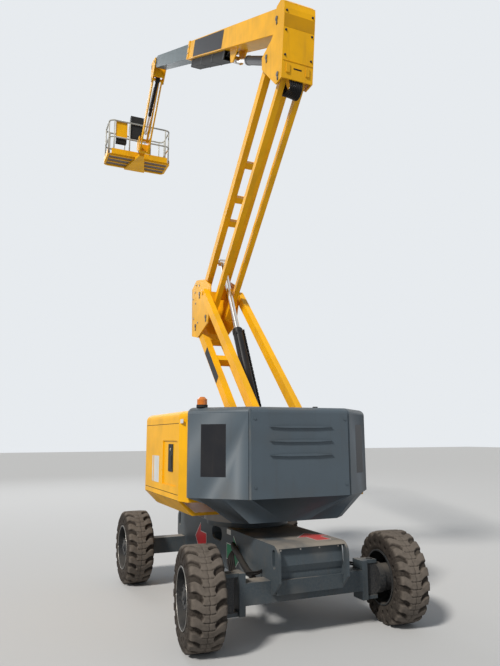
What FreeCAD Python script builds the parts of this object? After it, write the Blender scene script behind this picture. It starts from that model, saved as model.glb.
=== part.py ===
import FreeCAD, Part
import math
import os
import re

import Sketcher
from FreeCAD import Placement, Rotation, Vector

# An articulating boom lift on four wheels: a chassis with one steered axle, a slewing turret, two
# stages of parallel arms that fold on a knuckle, a telescopic boom, a jib and a basket.
# Frame: origin on the ground under the slewing axis, +X to the basket's end, +Y left, +Z up, in mm.
# It stands as it was photographed: arms half raised, boom up and out, jib hanging.

doc = FreeCAD.newDocument("BoomLift")
sheet = doc.addObject("Spreadsheet::Sheet", "Sizes")

# name, value in mm or degrees, what it measures
SIZES = [
    ("wheelbase", 2660, "between the two axles"),
    ("track", 2040, "between the middles of the left and right tyres"),
    ("tyre_radius", 440, "over the lugs"),
    ("tyre_width", 340, "over the lugs"),
    ("tyre_shoulder", 32, "bevel from the tread to the sidewall"),
    ("lug_height", 26, "lug above the tread"),
    ("lug_width", 66, "lug along the tread"),
    ("lug_count", 13, "lugs on each half of the tread"),
    ("rim_radius", 262, "seat of the tyre on the rim"),
    ("rim_wall", 14, "rim barrel and disc"),
    ("rim_dish", 120, "outer rim edge in to the disc"),
    ("hub_radius", 128, "final drive that shows in the rim"),
    ("steer_now", -6.7, "lock of the steered wheels, left positive"),
    ("king_inset", 260, "middle of a steered tyre in to its kingpin"),
    ("king_radius", 32, "kingpin"),
    ("fork_gap", 300, "between the two ears of the steered axle's fork"),
    ("fork_wall", 32, "ear of the fork"),
    ("ear_depth", 120, "ear of the fork, fore and aft"),
    ("axle_depth", 170, "axle beam, fore and aft"),
    ("axle_height", 190, "axle beam"),
    ("frame_length", 3160, "chassis frame"),
    ("frame_width", 740, "chassis frame over its side plates"),
    ("frame_bottom", 420, "underside above the ground"),
    ("deck_height", 850, "chassis deck above the ground"),
    ("frame_wall", 25, "plates of the chassis frame"),
    ("end_recess", 105, "end panels in from the ends of the side plates"),
    ("panel_wall", 12, "end panels"),
    ("window_x", 17, "middle of the oval hole in the side plates"),
    ("window_z", 748, "middle of the oval hole in the side plates"),
    ("window_half", 90, "oval hole, middle to the centre of its ends"),
    ("window_radius", 72, "ends of the oval hole"),
    ("end_round", 110, "upper corner of a side plate's end"),
    ("nose_rake", 120, "lower corner of a side plate's end cut back"),
    ("lash_radius", 34, "ends of the tie-down slots in the side plates"),
    ("lash_half", 50, "tie-down slot, middle to the centre of its ends"),
    ("lash_inset", 100, "tie-down slot from the end of a side plate"),
    ("lash_height", 730, "middle of a tie-down slot above the ground"),
    ("pedestal_radius", 470, "round seat of the slewing ring"),
    ("pedestal_height", 55, "seat above the deck"),
    ("ring_radius", 500, "slewing ring outside"),
    ("ring_bore", 390, "slewing ring inside"),
    ("ring_height", 80, "slewing ring"),
    ("floor_wall", 30, "turret floor plate"),
    ("floor_front", 960, "turret floor ahead of the slewing axis"),
    ("cheek_inner", 320, "arm-carrying plates, inner faces from the middle"),
    ("cheek_wall", 25, "arm-carrying plates"),
    ("pod_outer", 1055, "hoods over their outer faces, from the middle"),
    ("pod_inner", 400, "hoods' inner edges from the middle"),
    ("pod_front", 980, "hoods ahead of the slewing axis"),
    ("pod_taper", 190, "outer front corner of a hood cut in"),
    ("pod_knee", 680, "where the outer face starts to taper"),
    ("pod_shoulder", 50, "outer rear corner of a hood cut in"),
    ("pod_back_knee", 720, "where the outer face starts to draw in, behind the axis"),
    ("pod_bottom", 1200, "lower edge of the hoods"),
    ("pod_top", 2090, "top of the hoods"),
    ("pod_round", 70, "long upper edge of a hood"),
    ("hood_wall", 30, "hood skin"),
    ("hinge_radius", 13, "tube on which a hood turns"),
    ("hinge_at", 560, "hood hinges, fore and aft of the slewing axis"),
    ("recess_front", -100, "front of the latch recess in a hood"),
    ("recess_back", -650, "back of the latch recess in a hood"),
    ("recess_low", 1330, "foot of the latch recess"),
    ("recess_high", 1790, "top of the latch recess"),
    ("recess_depth", 14, "latch recess into the hood skin"),
    ("tray_bottom", 1050, "underside of the trays"),
    ("tray_inset", 150, "foot of a tray's sloping side in from the hood"),
    ("ballast_rear", 1370, "rear face of the counterweight"),
    ("ballast_half", 1025, "counterweight, half width"),
    ("ballast_panel", 550, "straight middle panel, half width"),
    ("ballast_crease", 1250, "foot of the upright rear face"),
    ("ballast_bottom", 1010, "underside of the counterweight"),
    ("ballast_top", 2115, "top of the counterweight"),
    ("ballast_round", 60, "upper edge of the counterweight"),
    ("ballast_depth", 465, "counterweight, front to back"),
    ("ballast_web", 120, "counterweight behind the arms' channel"),
    ("channel_rise", 50, "floor of the arms' channel above the crease"),
    ("ballast_tuck", 174, "how far the underside draws in at its foot"),
    ("ballast_nip", 40, "short straight flank at the front of the counterweight"),
    ("seat_slack", 0.3, "between pieces that stand against each other"),
    ("groove_width", 30, "upright grooves beside the middle panel"),
    ("groove_depth", 18, "upright grooves beside the middle panel"),
    ("ridge_half", 345, "louvre ridges, half length"),
    ("ridge_pitch", 135, "between louvre ridges"),
    ("ridge_low", 1650, "lowest louvre ridge"),
    ("beacon_radius", 50, "warning beacon"),
    ("beacon_base", 26, "foot of the beacon"),
    ("beacon_height", 105, "beacon above the counterweight"),
    ("beacon_x", -966, "beacon, fore and aft"),
    ("beacon_y", 897, "beacon, to the left"),
    ("pin_radius", 30, "pivot pins of arms and boom"),
    ("pin_slack", 0.05, "radial play of a pin in its eye"),
    ("side_slack", 6, "between arms that pass each other"),
    ("stage_now", 45, "pitch of both stages of arms"),
    ("lower_length", 2814, "lower stage, pin to pin"),
    ("lower_foot_x", -595, "lower arm's foot pin"),
    ("lower_foot_z", 1420, "lower arm's foot pin"),
    ("link_foot_x", -1130, "lower links' foot pins"),
    ("link_foot_z", 1780, "lower links' foot pins"),
    ("lower_half", 190, "lower arm, half width"),
    ("lower_bar", 90, "lower arm's bars, across"),
    ("lower_depth", 130, "lower arm's bars, deep"),
    ("link_width", 75, "lower links, across"),
    ("link_depth", 115, "lower links, deep"),
    ("plate_wall", 16, "knuckle and boom head plates"),
    ("upper_length", 3220, "upper stage, pin to pin"),
    ("upper_rise_x", -168, "upper arm's foot pin from the lower arm's top pin"),
    ("upper_rise_z", 440, "upper arm's foot pin from the lower arm's top pin"),
    ("tie_drop_x", -280, "upper links' foot pins from the upper arm's"),
    ("tie_drop_z", -390, "upper links' foot pins from the upper arm's"),
    ("upper_half", 170, "upper arm, half width"),
    ("upper_bar", 80, "upper arm's bars, across"),
    ("upper_depth", 110, "upper arm's bars, deep"),
    ("tie_half", 150, "upper links, half width"),
    ("tie_width", 65, "upper links, across"),
    ("tie_depth", 75, "upper links, deep"),
    ("lift_eye_at", 535, "lift cylinder's eye along the upper arm"),
    ("lift_barrel_radius", 65, "lift cylinder's barrel"),
    ("lift_rod_radius", 36, "lift cylinder's rod"),
    ("lift_barrel_length", 1990, "lift cylinder's barrel from its foot pin"),
    ("boom_now", 29.4, "pitch of the boom"),
    ("boom_pivot_x", -280, "boom's pivot from the upper arm's top pin"),
    ("boom_pivot_z", 293, "boom's pivot from the upper arm's top pin"),
    ("boom_width", 280, "boom, across"),
    ("boom_depth", 280, "boom, deep"),
    ("boom_wall", 12, "boom's wall"),
    ("collar_rise", 8, "collar at the boom's mouth above its walls"),
    ("collar_length", 90, "collar at the boom's mouth"),
    ("boom_length", 4106, "boom from its pivot to its mouth"),
    ("boom_tail", 95, "boom behind its pivot"),
    ("boom_eye_x", 1370, "boom cylinder's eye from the upper arm's top pin"),
    ("boom_eye_z", 903, "boom cylinder's eye from the upper arm's top pin"),
    ("boom_barrel_radius", 58, "boom cylinder's barrel"),
    ("boom_rod_radius", 32, "boom cylinder's rod"),
    ("boom_barrel_length", 1180, "boom cylinder's barrel from its foot pin"),
    ("duct_start", 2100, "hose duct under the boom, near end from the pivot"),
    ("duct_end", 3950, "hose duct under the boom, far end from the pivot"),
    ("duct_width", 170, "hose duct, across"),
    ("duct_depth", 125, "hose duct, deep"),
    ("duct_wall", 8, "hose duct's wall"),
    ("fly_width", 220, "fly section, across"),
    ("fly_depth", 238, "fly section, deep"),
    ("fly_wall", 10, "fly section's wall"),
    ("fly_start", 2500, "inner end of the fly from the boom's pivot"),
    ("fly_end", 6850, "outer end of the fly from the boom's pivot"),
    ("pad_slack", 0.3, "between the fly and its wear pads"),
    ("nose_at", 6990, "jib foot's pin from the boom's pivot"),
    ("jib_now", -46, "pitch of the jib"),
    ("jib_length", 1630, "jib, pin to pin"),
    ("jib_ahead", 240, "jib's pin ahead of the jib foot's pin"),
    ("jib_above", 40, "jib's pin above the jib foot's pin"),
    ("jib_drop", 300, "jib links' pins below the jib's"),
    ("jib_half", 78, "jib arm, half width"),
    ("jib_bar", 28, "jib arm's bars, across"),
    ("jib_depth", 120, "jib, deep"),
    ("rail_width", 26, "jib link bars, across"),
    ("rail_depth", 60, "jib link bars, deep"),
    ("jib_eye_at", 1450, "jib cylinder's eye along the jib"),
    ("jib_barrel_length", 840, "jib cylinder's barrel from its foot pin"),
    ("jib_barrel_radius", 34, "jib cylinder's barrel"),
    ("jib_rod_radius", 19, "jib cylinder's rod"),
    ("post_ahead", 210, "basket's turning post ahead of the jib's end pin"),
    ("post_radius", 60, "basket's turning post"),
    ("post_length", 145, "basket's turning post"),
    ("cage_length", 1520, "basket, side to side"),
    ("cage_depth", 700, "basket, fore and aft"),
    ("cage_ahead", 175, "basket ahead of its turning post"),
    ("cage_bend", 110, "bends of the basket's rails"),
    ("cage_post", 255, "inner uprights of the basket from its middle"),
    ("console_middle", 80, "control box, from the basket's middle to the left"),
    ("console_width", 320, "control box"),
    ("console_rise", 195, "control box above the top rail"),
    ("cage_floor", -235, "basket floor from the jib's end pin"),
    ("cage_height", 890, "top rail above the basket floor"),
    ("rail_radius", 19, "basket rails"),
    ("toe_height", 130, "toe boards"),
    ("sheet_wall", 4, "basket floor and toe boards"),
    ("tread_inset", 50, "raised mesh of the floor in from its edges"),
]
for row, (alias, value, note) in enumerate(SIZES, start=1):
    sheet.set(f"A{row}", alias)
    sheet.set(f"B{row}", str(value))
    sheet.setAlias(f"B{row}", alias)
    sheet.set(f"C{row}", note)
doc.recompute()

NAMES = {alias for alias, value, note in SIZES}
SIDES = (("left", 1), ("right", -1))
parts = []


def size(text):
    """The value of an expression in the names of the sheet."""
    return float(sheet.evalExpression(text))


def bound(text):
    """The same expression as another object writes it."""
    return re.sub(r"[a-z_]+", lambda word: "Sizes." * (word[0] in NAMES) + word[0], text)


def signed(side, text):
    """An expression for the left side, or its mirror image for the right."""
    return text if side > 0 else f"-({text})"


def body(label, at=("0", "0", "0"), pitch=None, yaw=None):
    """A new sub-part with its own frame, pitched nose up or yawed to the left."""
    made = doc.addObject("PartDesign::Body", label)
    made.Label = label
    made.AllowCompound = True
    axis = Vector(0, 0, 1) if yaw else Vector(0, -1, 0)
    made.Placement = Placement(Vector(), Rotation(axis, 1.0))
    for path, text in zip(("Base.x", "Base.y", "Base.z", "Rotation.Angle"), (*at, yaw or pitch or "0")):
        made.setExpression(f"Placement.{path}", bound(text))
    if not (yaw or pitch):
        made.setExpression("Placement.Rotation.Angle", None)
        made.Placement = Placement(made.Placement.Base, Rotation())
    parts.append(made)
    return made


def origin_item(owner, role):
    """One of the sub-part's own planes or axes."""
    return next(item for item in owner.Origin.OriginFeatures if item.Role == role)


def new_sketch(owner, plane, at):
    """A sketch across X, Y or Z, at a place along that axis."""
    drawn = owner.newObject("Sketcher::SketchObject", f"{owner.Label}_sketch")
    drawn.AttachmentSupport = (origin_item(owner, {"X": "YZ", "Y": "XZ", "Z": "XY"}[plane] + "_Plane"), "")
    drawn.MapMode = "FlatFace"
    drawn.setExpression("AttachmentOffset.Base.z", bound(f"-({at})" if plane == "Y" else at))
    return drawn


def pin_point(drawn, geometry, end, corner):
    """Hold one point of a sketch at two distances from the sketch's origin."""
    for kind, text in zip(("DistanceX", "DistanceY"), corner):
        constraint = Sketcher.Constraint(kind, -1, 1, geometry, end, size(text))
        index = drawn.addConstraint(constraint)
        if re.search("[a-z]", text):
            drawn.setExpression(f"Constraints[{index}]", bound(text))


def outline(owner, plane, corners, at="0"):
    """A closed outline of straight edges; each corner is a pair of expressions."""
    drawn = new_sketch(owner, plane, at)
    points = [Vector(size(across), size(up), 0) for across, up in corners]
    for index, point in enumerate(points):
        drawn.addGeometry(Part.LineSegment(point, points[(index + 1) % len(points)]))
    for index in range(len(points)):
        drawn.addConstraint(Sketcher.Constraint("Coincident", index, 2, (index + 1) % len(points), 1))
        pin_point(drawn, index, 1, corners[index])
    return drawn


def circles(owner, plane, rounds, at="0"):
    """A sketch of circles, each a centre and a radius in expressions."""
    drawn = new_sketch(owner, plane, at)
    for index, (across, up, radius) in enumerate(rounds):
        drawn.addGeometry(Part.Circle(Vector(size(across), size(up), 0), Vector(0, 0, 1), size(radius)))
        pin_point(drawn, index, 3, (across, up))
        held = drawn.addConstraint(Sketcher.Constraint("Radius", index, size(radius)))
        drawn.setExpression(f"Constraints[{held}]", bound(radius))
    return drawn


def grow(owner, drawn, length, cut=False):
    """Pad or pocket a sketch by a length, half to each side of it."""
    kind = "PartDesign::Pocket" if cut else "PartDesign::Pad"
    made = owner.newObject(kind, f"{owner.Label}_{'cut' if cut else 'pad'}")
    made.Profile = drawn
    made.SideType = "Symmetric"
    made.setExpression("Length", bound(length))
    doc.recompute()
    return made


def slab(owner, plane, corners, length, at="0", cut=False):
    """An outline with a thickness."""
    return grow(owner, outline(owner, plane, corners, at), length, cut)


def discs(owner, plane, rounds, length, at="0", cut=False):
    """Round bars, pins or bores side by side."""
    return grow(owner, circles(owner, plane, rounds, at), length, cut)


def turned(owner, plane, corners):
    """A profile turned about the sketch's own horizontal axis."""
    made = owner.newObject("PartDesign::Revolution", f"{owner.Label}_turned")
    drawn = outline(owner, plane, corners)
    made.Profile = drawn
    made.ReferenceAxis = (drawn, ["H_Axis"])
    made.Angle = 360
    doc.recompute()
    return made


def block(low_x, high_x, low_y, high_y):
    """The four corners of a rectangle."""
    return [(low_x, low_y), (high_x, low_y), (high_x, high_y), (low_x, high_y)]


def soften(owner, radius, chosen, kind="Fillet"):
    """Round or bevel the edges whose middle point passes a test."""
    tip = owner.Tip
    edges = []
    for number, edge in enumerate(tip.Shape.Edges, start=1):
        middle = edge.valueAt((edge.FirstParameter + edge.LastParameter) / 2)
        if chosen(middle, edge):
            edges.append(f"Edge{number}")
    made = owner.newObject(f"PartDesign::{kind}", f"{owner.Label}_soft")
    made.Base = (tip, edges)
    made.setExpression("Radius" if kind == "Fillet" else "Size", bound(radius))
    doc.recompute()
    return made


def near(first, second):
    """Whether two lengths agree to a tenth of a millimetre."""
    return abs(first - second) < 0.1


def around(owner, made, axis, count):
    """Repeat a feature in a full circle."""
    ring = owner.newObject("PartDesign::PolarPattern", f"{owner.Label}_ring")
    ring.Originals = [made]
    ring.Axis = (origin_item(owner, f"{axis}_Axis"), [""])
    ring.Angle = 360
    ring.setExpression("Occurrences", bound(count))
    owner.Tip = ring
    doc.recompute()
    return ring


def chassis():
    """Welded frame: two side plates, a deck and recessed end panels, open below between ribs."""
    frame = body("chassis_frame")
    end, base, top = "frame_length / 2", "frame_bottom", "deck_height"
    slab(frame, "Y", [
        (f"-{end} + nose_rake", base), (f"{end} - nose_rake", base), (end, f"{base} + nose_rake"),
        (end, top), (f"-{end}", top), (f"-{end}", f"{base} + nose_rake")], "frame_width")
    soften(frame, "end_round", lambda middle, edge: near(abs(middle.x), size(end)) and near(
        middle.z, size(top)) and near(edge.Length, size("frame_width")))
    inner = "frame_width - 2 * frame_wall"
    for low, high in (("-wheelbase / 2 + axle_depth", "-ring_bore / 2"), ("-ring_bore / 2 + frame_wall",
                      "ring_bore / 2 - frame_wall"), ("ring_bore / 2", "wheelbase / 2 - axle_depth")):
        slab(frame, "Y", block(low, high, f"{base} - 1", f"{top} - frame_wall"), inner, cut=True)
    for side in (1, -1):
        far, near_end = f"{side} * ({end} + 1)", f"{side} * ({end} - end_recess)"
        slab(frame, "Y", block(near_end, far, f"{base} - 1", f"{top} - frame_wall"), inner, cut=True)
        axle = f"{side} * wheelbase / 2"
        slab(frame, "Y", block(f"{axle} - axle_depth / 2", f"{axle} + axle_depth / 2", f"{base} - 1",
                               "tyre_radius + axle_height / 2"), "frame_width + 2", cut=True)
        # Each end panel is bent out at its foot, over a lip that closes the bottom.
        within, panel, lip = (f"{side} * ({end} - end_recess + {out})" for out in ("-2", "panel_wall",
                                                                                   "end_recess / 3"))
        slab(frame, "Y", [
            (within, f"{top} - frame_wall + 1"), (panel, f"{top} - frame_wall + 1"), (lip, f"{base} + 250"),
            (panel, f"{base} + 195"), (within, f"{base} + 195")], f"{inner} + 2")
        slab(frame, "Y", [(within, f"{base} + 130"), (lip, f"{base} + 130"), (panel, base), (within, base)],
             f"{inner} + 2")
        slot = f"{side} * ({end} - lash_inset)"
        for wall in (1, -1):
            at = f"{wall} * (frame_width - frame_wall) / 2"
            ends = [(slot, f"lash_height + {level} * lash_half", "lash_radius") for level in (1, -1)]
            discs(frame, "Y", [ends[0]], "frame_wall", at, cut=True)
            discs(frame, "Y", [ends[1]], "frame_wall", at, cut=True)
            slab(frame, "Y", block(f"{slot} - lash_radius", f"{slot} + lash_radius",
                                   "lash_height - lash_half",
                                   "lash_height + lash_half"), "frame_wall", at, cut=True)
    ends = [(f"window_x + {side} * window_half", "window_z", "window_radius") for side in (1, -1)]
    discs(frame, "Y", [ends[0]], "frame_width + 2", cut=True)
    discs(frame, "Y", [ends[1]], "frame_width + 2", cut=True)
    slab(frame, "Y", block("window_x - window_half", "window_x + window_half", "window_z - window_radius",
                           "window_z + window_radius"), "frame_width + 2", cut=True)
    discs(frame, "Z", [("0", "0", "pedestal_radius")], "pedestal_height", at=f"{top} + pedestal_height / 2")

    ring = body("slew_ring")
    middle = "deck_height + pedestal_height + ring_height / 2"
    discs(ring, "Z", [("0", "0", "ring_radius")], "ring_height", at=middle)
    discs(ring, "Z", [("0", "0", "ring_bore")], "ring_height + 2", at=middle, cut=True)


def axles():
    """A plain driven axle at the front; a rear one that ends in forks for the steering knuckles."""
    reach = "track / 2 - tyre_width / 2 - 60"
    front = body("front_axle", ("wheelbase / 2", "0", "tyre_radius"))
    half, rise = "axle_depth / 2", "axle_height / 2"
    slab(front, "Y", block(f"-{half}", half, f"-{rise}", rise), f"2 * ({reach})")
    discs(front, "Y", [("0", "0", "hub_radius + 30")], "60 + rim_wall",
          at="track / 2 - tyre_width / 2 - 30 + rim_wall / 2")
    discs(front, "Y", [("0", "0", "hub_radius + 30")], "60 + rim_wall",
          at="-(track / 2 - tyre_width / 2 - 30 + rim_wall / 2)")

    rear = body("rear_axle", ("-wheelbase / 2", "0", "tyre_radius"))
    king = "track / 2 - king_inset"
    tall = "fork_gap / 2 + fork_wall"
    slab(rear, "Y", block(f"-{half}", half, f"-{rise}", rise), f"2 * ({king} - 110)")
    for side in (1, -1):
        root, tip = f"{side} * ({king} - 140)", f"{side} * ({king} + 45)"
        slab(rear, "X", block(root, f"{side} * ({king} - 80)", f"-({tall})", tall), "axle_depth")
        for level in (1, -1):
            slab(rear, "X", block(root, tip, f"{level} * fork_gap / 2", f"{level} * ({tall})"), "ear_depth")
    discs(rear, "Z", [("0", king, "king_radius"), ("0", f"-({king})", "king_radius")],
          f"2 * ({tall}) + 2", cut=True)


def knuckles():
    """A steering knuckle on each kingpin: pin, block and the hub face that the wheel runs on."""
    king = "track / 2 - king_inset"
    inner = "king_inset - tyre_width / 2"
    for name, side in SIDES:
        made = body(f"knuckle_{name}", ("-wheelbase / 2", signed(side, king), "tyre_radius"),
                    yaw="steer_now")
        discs(made, "Z", [("0", "0", "king_radius - pin_slack")], "fork_gap + 2 * fork_wall + 12")
        slab(made, "Y", block("-50", "50", "-fork_gap / 2 + 0.3", "fork_gap / 2 - 0.3"), "90")
        face = f"{inner} + rim_wall"
        discs(made, "Y", [("0", "0", "hub_radius + 15")], f"{face} - 44", at=signed(side,
                                                                                    f"({face} + 44) / 2"))


def wheels():
    """Solid-looking tyres with two staggered rows of lugs, on dished rims with a final drive."""
    for end, turn in ((1, None), (-1, "steer_now")):
        for name, side in SIDES:
            where = {1: "front", -1: "rear"}[end]
            if turn:
                arm = "king_inset"
                yaw = "steer_now"
                at = (f"-wheelbase / 2 - {side} * {arm} * sin({yaw})",
                      f"{side} * (track / 2 - {arm} + {arm} * cos({yaw}))", "tyre_radius")
            else:
                at = ("wheelbase / 2", f"{side} * track / 2", "tyre_radius")
            tyre = body(f"tyre_{where}_{name}", at, yaw=turn)
            half, tread, crown = "tyre_width / 2", "tyre_radius - lug_height", "lug_width ^ 2 / 8 / tyre_radius"
            # The tread has one flat for each lug, so that a lug stands on a plane.
            flats = 2 * int(size("lug_count"))
            slab(tyre, "Y", [
                (f"({tread}) / cos(90 / lug_count) * cos({step} * 180 / lug_count)",
                 f"({tread}) / cos(90 / lug_count) * sin({step} * 180 / lug_count)")
                for step in range(flats)], "tyre_width")
            soften(tyre, "tyre_shoulder", lambda middle, edge: near(abs(middle.y), size(half)), "Chamfer")
            discs(tyre, "Y", [("0", "0", "rim_radius")], "tyre_width + 2", cut=True)
            for row in (1, -1):
                low, high = f"{row} * ({half} - 3)", f"-{row} * tyre_width / 14"
                skew = f"{row} * lug_width / 4"
                first = slab(tyre, "Z", [
                    (f"-lug_width / 2 + {skew}", low), (f"lug_width / 2 + {skew}", low),
                    (f"lug_width / 2 - {skew}", high), (f"-lug_width / 2 - {skew}", high)],
                    "lug_height + 20", at=f"{row} * (tyre_radius - lug_height / 2 - 10 - {crown})")
                around(tyre, first, "Y", "lug_count")

            rim = body(f"rim_{where}_{name}", at, yaw=turn)
            out = f"{half} - rim_dish"
            seat, inside = "rim_radius - 0.3", "rim_radius - rim_wall"
            back = f"-{side} * ({half} - rim_wall - 0.3)"
            turned(rim, "X", [
                (f"{side} * ({half} - 12)", seat), (f"-{side} * ({half} - 12)", seat),
                (f"-{side} * ({half} - 12)", inside), (f"{side} * ({out} - rim_wall)", inside),
                (f"{side} * ({out} - rim_wall)", "hub_radius"), (back, "hub_radius"), (back, "0"),
                (f"{side} * ({half} - 40)", "0"),
                (f"{side} * ({half} - 40)", "hub_radius * 0.7"), (f"{side} * ({out})", "hub_radius"),
                (f"{side} * ({out})", inside), (f"{side} * ({half} - 12)", inside)])


def pod_outline(inset):
    """Plan of the left hood, drawn in by an inset: straight flank, then a tapered nose."""
    inner, outer = f"pod_inner + {inset}", f"pod_outer - {inset}"
    rear, front = f"-(ballast_rear - ballast_depth - seat_slack) + {inset}", f"pod_front - {inset}"
    return [(rear, inner), (front, inner), (front, f"{outer} - pod_taper"), ("pod_knee", outer),
            ("-pod_back_knee", outer), (rear, f"{outer} - pod_shoulder")]


def turret():
    """Floor plate, two upright plates with the arms' foot pins, trays, engine and counterweight."""
    under = "deck_height + pedestal_height + ring_height + 0.3"
    frame = body("turret_frame")
    rear_end = "-(ballast_rear - ballast_web - seat_slack)"
    step_x, step_z = "-(ballast_rear - ballast_depth - seat_slack)", "ballast_crease + channel_rise"
    slab(frame, "Z", block(step_x, "floor_front", "-cheek_inner - cheek_wall", "cheek_inner + cheek_wall"),
         "floor_wall", at=f"{under} + floor_wall / 2")
    for side in (1, -1):
        slab(frame, "Y", [
            (rear_end, step_z), (step_x, step_z), (step_x, f"{under} + floor_wall - 1"),
            ("floor_front", f"{under} + floor_wall - 1"),
            ("floor_front", "lower_foot_z - 220"), ("lower_foot_x + 260", "lower_foot_z + 60"),
            ("lower_foot_x", "link_foot_z - 60"), ("link_foot_x + 140", "link_foot_z + 110"),
            (rear_end, "link_foot_z + 110")], "cheek_wall", at=f"{side} * (cheek_inner + cheek_wall / 2)")
    for x, z in (("lower_foot_x", "lower_foot_z"), ("link_foot_x", "link_foot_z")):
        discs(frame, "Y", [(x, z, "pin_radius")], "2 * (cheek_inner + cheek_wall)")
    trays = body("trays")
    floor, wall = "tray_bottom", "hood_wall"
    for name, side in SIDES:
        slab(trays, "X", [
            (signed(side, "cheek_inner + cheek_wall"), floor), (signed(side, "pod_outer - tray_inset"),
                                                                floor),
            (signed(side, "pod_outer"), "pod_bottom - 0.5"), (signed(side, f"pod_outer - {wall}"),
                                                              "pod_bottom - 0.5"),
            (signed(side, f"pod_outer - tray_inset - {wall}"), f"{floor} + {wall}"),
            (signed(side, "cheek_inner + cheek_wall"), f"{floor} + {wall}")],
            "pod_knee + pod_back_knee", at="(pod_knee - pod_back_knee) / 2")
        hood = body(f"hood_{name}")
        tall = "pod_top - pod_bottom"
        shell = [(x, signed(side, y)) for x, y in pod_outline("0")]
        slab(hood, "Z", shell, tall, at=f"pod_bottom + ({tall}) / 2")
        soften(hood, "pod_round", lambda middle, edge: near(middle.z, size("pod_top")) and abs(
            middle.y) > size("pod_inner") + 1)
        hollow = [(x, signed(side, y)) for x, y in pod_outline("hood_wall")]
        hollow[0] = (hollow[0][0], signed(side, "pod_inner - 1"))
        hollow[1] = (hollow[1][0], signed(side, "pod_inner - 1"))
        slab(hood, "Z", hollow, f"{tall} - hood_wall + 1",
             at=f"pod_bottom - 1 + ({tall} - hood_wall + 1) / 2",
             cut=True)
        slab(hood, "Y", block("recess_back", "recess_front", "recess_low", "recess_high"),
             "2 * recess_depth",
             at=signed(side, "pod_outer"), cut=True)
        axle_y, axle_z = signed(side, "pod_inner"), "pod_top - hood_wall / 2"
        discs(hood, "X", [(axle_y, axle_z, "hinge_radius")], "2 * hinge_at + 160")
        for end in (1, -1):
            slab(hood, "X", block(signed(side, "pod_inner - 20"), signed(side, "pod_inner + 20"),
                                  "pod_top - hood_wall - 9",
                                  "pod_top + 1"), "54", at=f"{end} * hinge_at", cut=True)
            discs(hood, "X", [(axle_y, axle_z, "hinge_radius - 5")], "60", at=f"{end} * hinge_at")
            reach_in, reach_up = signed(side, "cheek_inner + 2"), "lower_foot_z + 60"
            slab(frame, "X", [
                (reach_in, reach_up), (signed(side, "cheek_inner + cheek_wall"), reach_up),
                (signed(side, "pod_inner + 12"), "pod_top - hood_wall - 24"),
                (signed(side, "pod_inner + 12"), "pod_top - 1"), (signed(side, "pod_inner - 14"),
                                                                  "pod_top - 1"),
                (reach_in, "pod_top - 90")], "48", at=f"{end} * hinge_at")
            discs(frame, "X", [(axle_y, axle_z, "hinge_radius - 5 + pin_slack")], "50",
                  at=f"{end} * hinge_at", cut=True)

    engine = body("engine")
    slab(engine, "X", block("-(pod_inner + 30)", "-(pod_inner + 450)",
                            "tray_bottom + hood_wall + seat_slack",
                            "pod_bottom + 480"), "760", at="-200")

    weight = body("counterweight")
    rear, front = "-ballast_rear", "-ballast_rear + ballast_depth"
    channel, web = "cheek_inner + cheek_wall + seat_slack", "-ballast_rear + ballast_web"
    plan = [(rear, "-ballast_panel"), (f"{front} - ballast_nip", "-ballast_half"), (front, "-ballast_half"),
            (front, "ballast_half"), (f"{front} - ballast_nip", "ballast_half"), (rear, "ballast_panel")]
    slab(weight, "Z", plan, "ballast_top - ballast_crease", at="(ballast_top + ballast_crease) / 2")
    soften(weight, "ballast_round", lambda middle, edge: near(middle.z,
                                                              size("ballast_top")) and middle.x < size(
        front) - 1)
    keel = weight.newObject("PartDesign::Pad", "counterweight_keel")
    keel.Profile = outline(weight, "Z", plan, at="ballast_crease")
    keel.Reversed = True
    keel.setExpression("Length", bound("ballast_crease - ballast_bottom"))
    keel.setExpression("TaperAngle", bound("-atan(ballast_tuck / (ballast_crease - ballast_bottom))"))
    doc.recompute()
    low, tall = "ballast_crease + channel_rise - seat_slack", "ballast_top - ballast_crease"
    slab(weight, "Z", block(web, f"{front} + 1", f"-({channel})", channel), tall,
         at=f"{low} + ({tall}) / 2",
         cut=True)
    for side in (1, -1):
        slab(weight, "Z", block(f"{rear} - 1", f"{rear} + groove_depth",
                                f"{side} * ballast_panel - groove_width / 2",
                                f"{side} * ballast_panel + groove_width / 2"), f"{tall} + 2",
             at=f"ballast_crease + ({tall}) / 2", cut=True)
    for step in range(3):
        level = f"ridge_low + {step} * ridge_pitch"
        slab(weight, "X", [
            ("-ridge_half", level), ("-ridge_half / 2", f"{level} - 9"), ("ridge_half / 2", f"{level} - 9"),
            ("ridge_half", level), ("ridge_half / 2", f"{level} + 13"), ("-ridge_half / 2",
                                                                         f"{level} + 13")],
            "40", at=rear)

    beacon = body("beacon", ("beacon_x", "beacon_y", "ballast_top + seat_slack"))
    discs(beacon, "Z", [("0", "0", "beacon_radius + 6")], "beacon_base", at="beacon_base / 2")
    discs(beacon, "Z", [("0", "0", "beacon_radius")], "beacon_height - beacon_base",
          at="(beacon_height + beacon_base) / 2")
    soften(beacon, "beacon_radius / 2", lambda middle, edge: near(middle.z, size("beacon_height")),
           "Chamfer")


def eyes(owner, places, width):
    """Bores for pins across an arm, with their play."""
    for x, z in places:
        discs(owner, "Y", [(x, z, "pin_radius + pin_slack")], width, cut=True)


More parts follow.
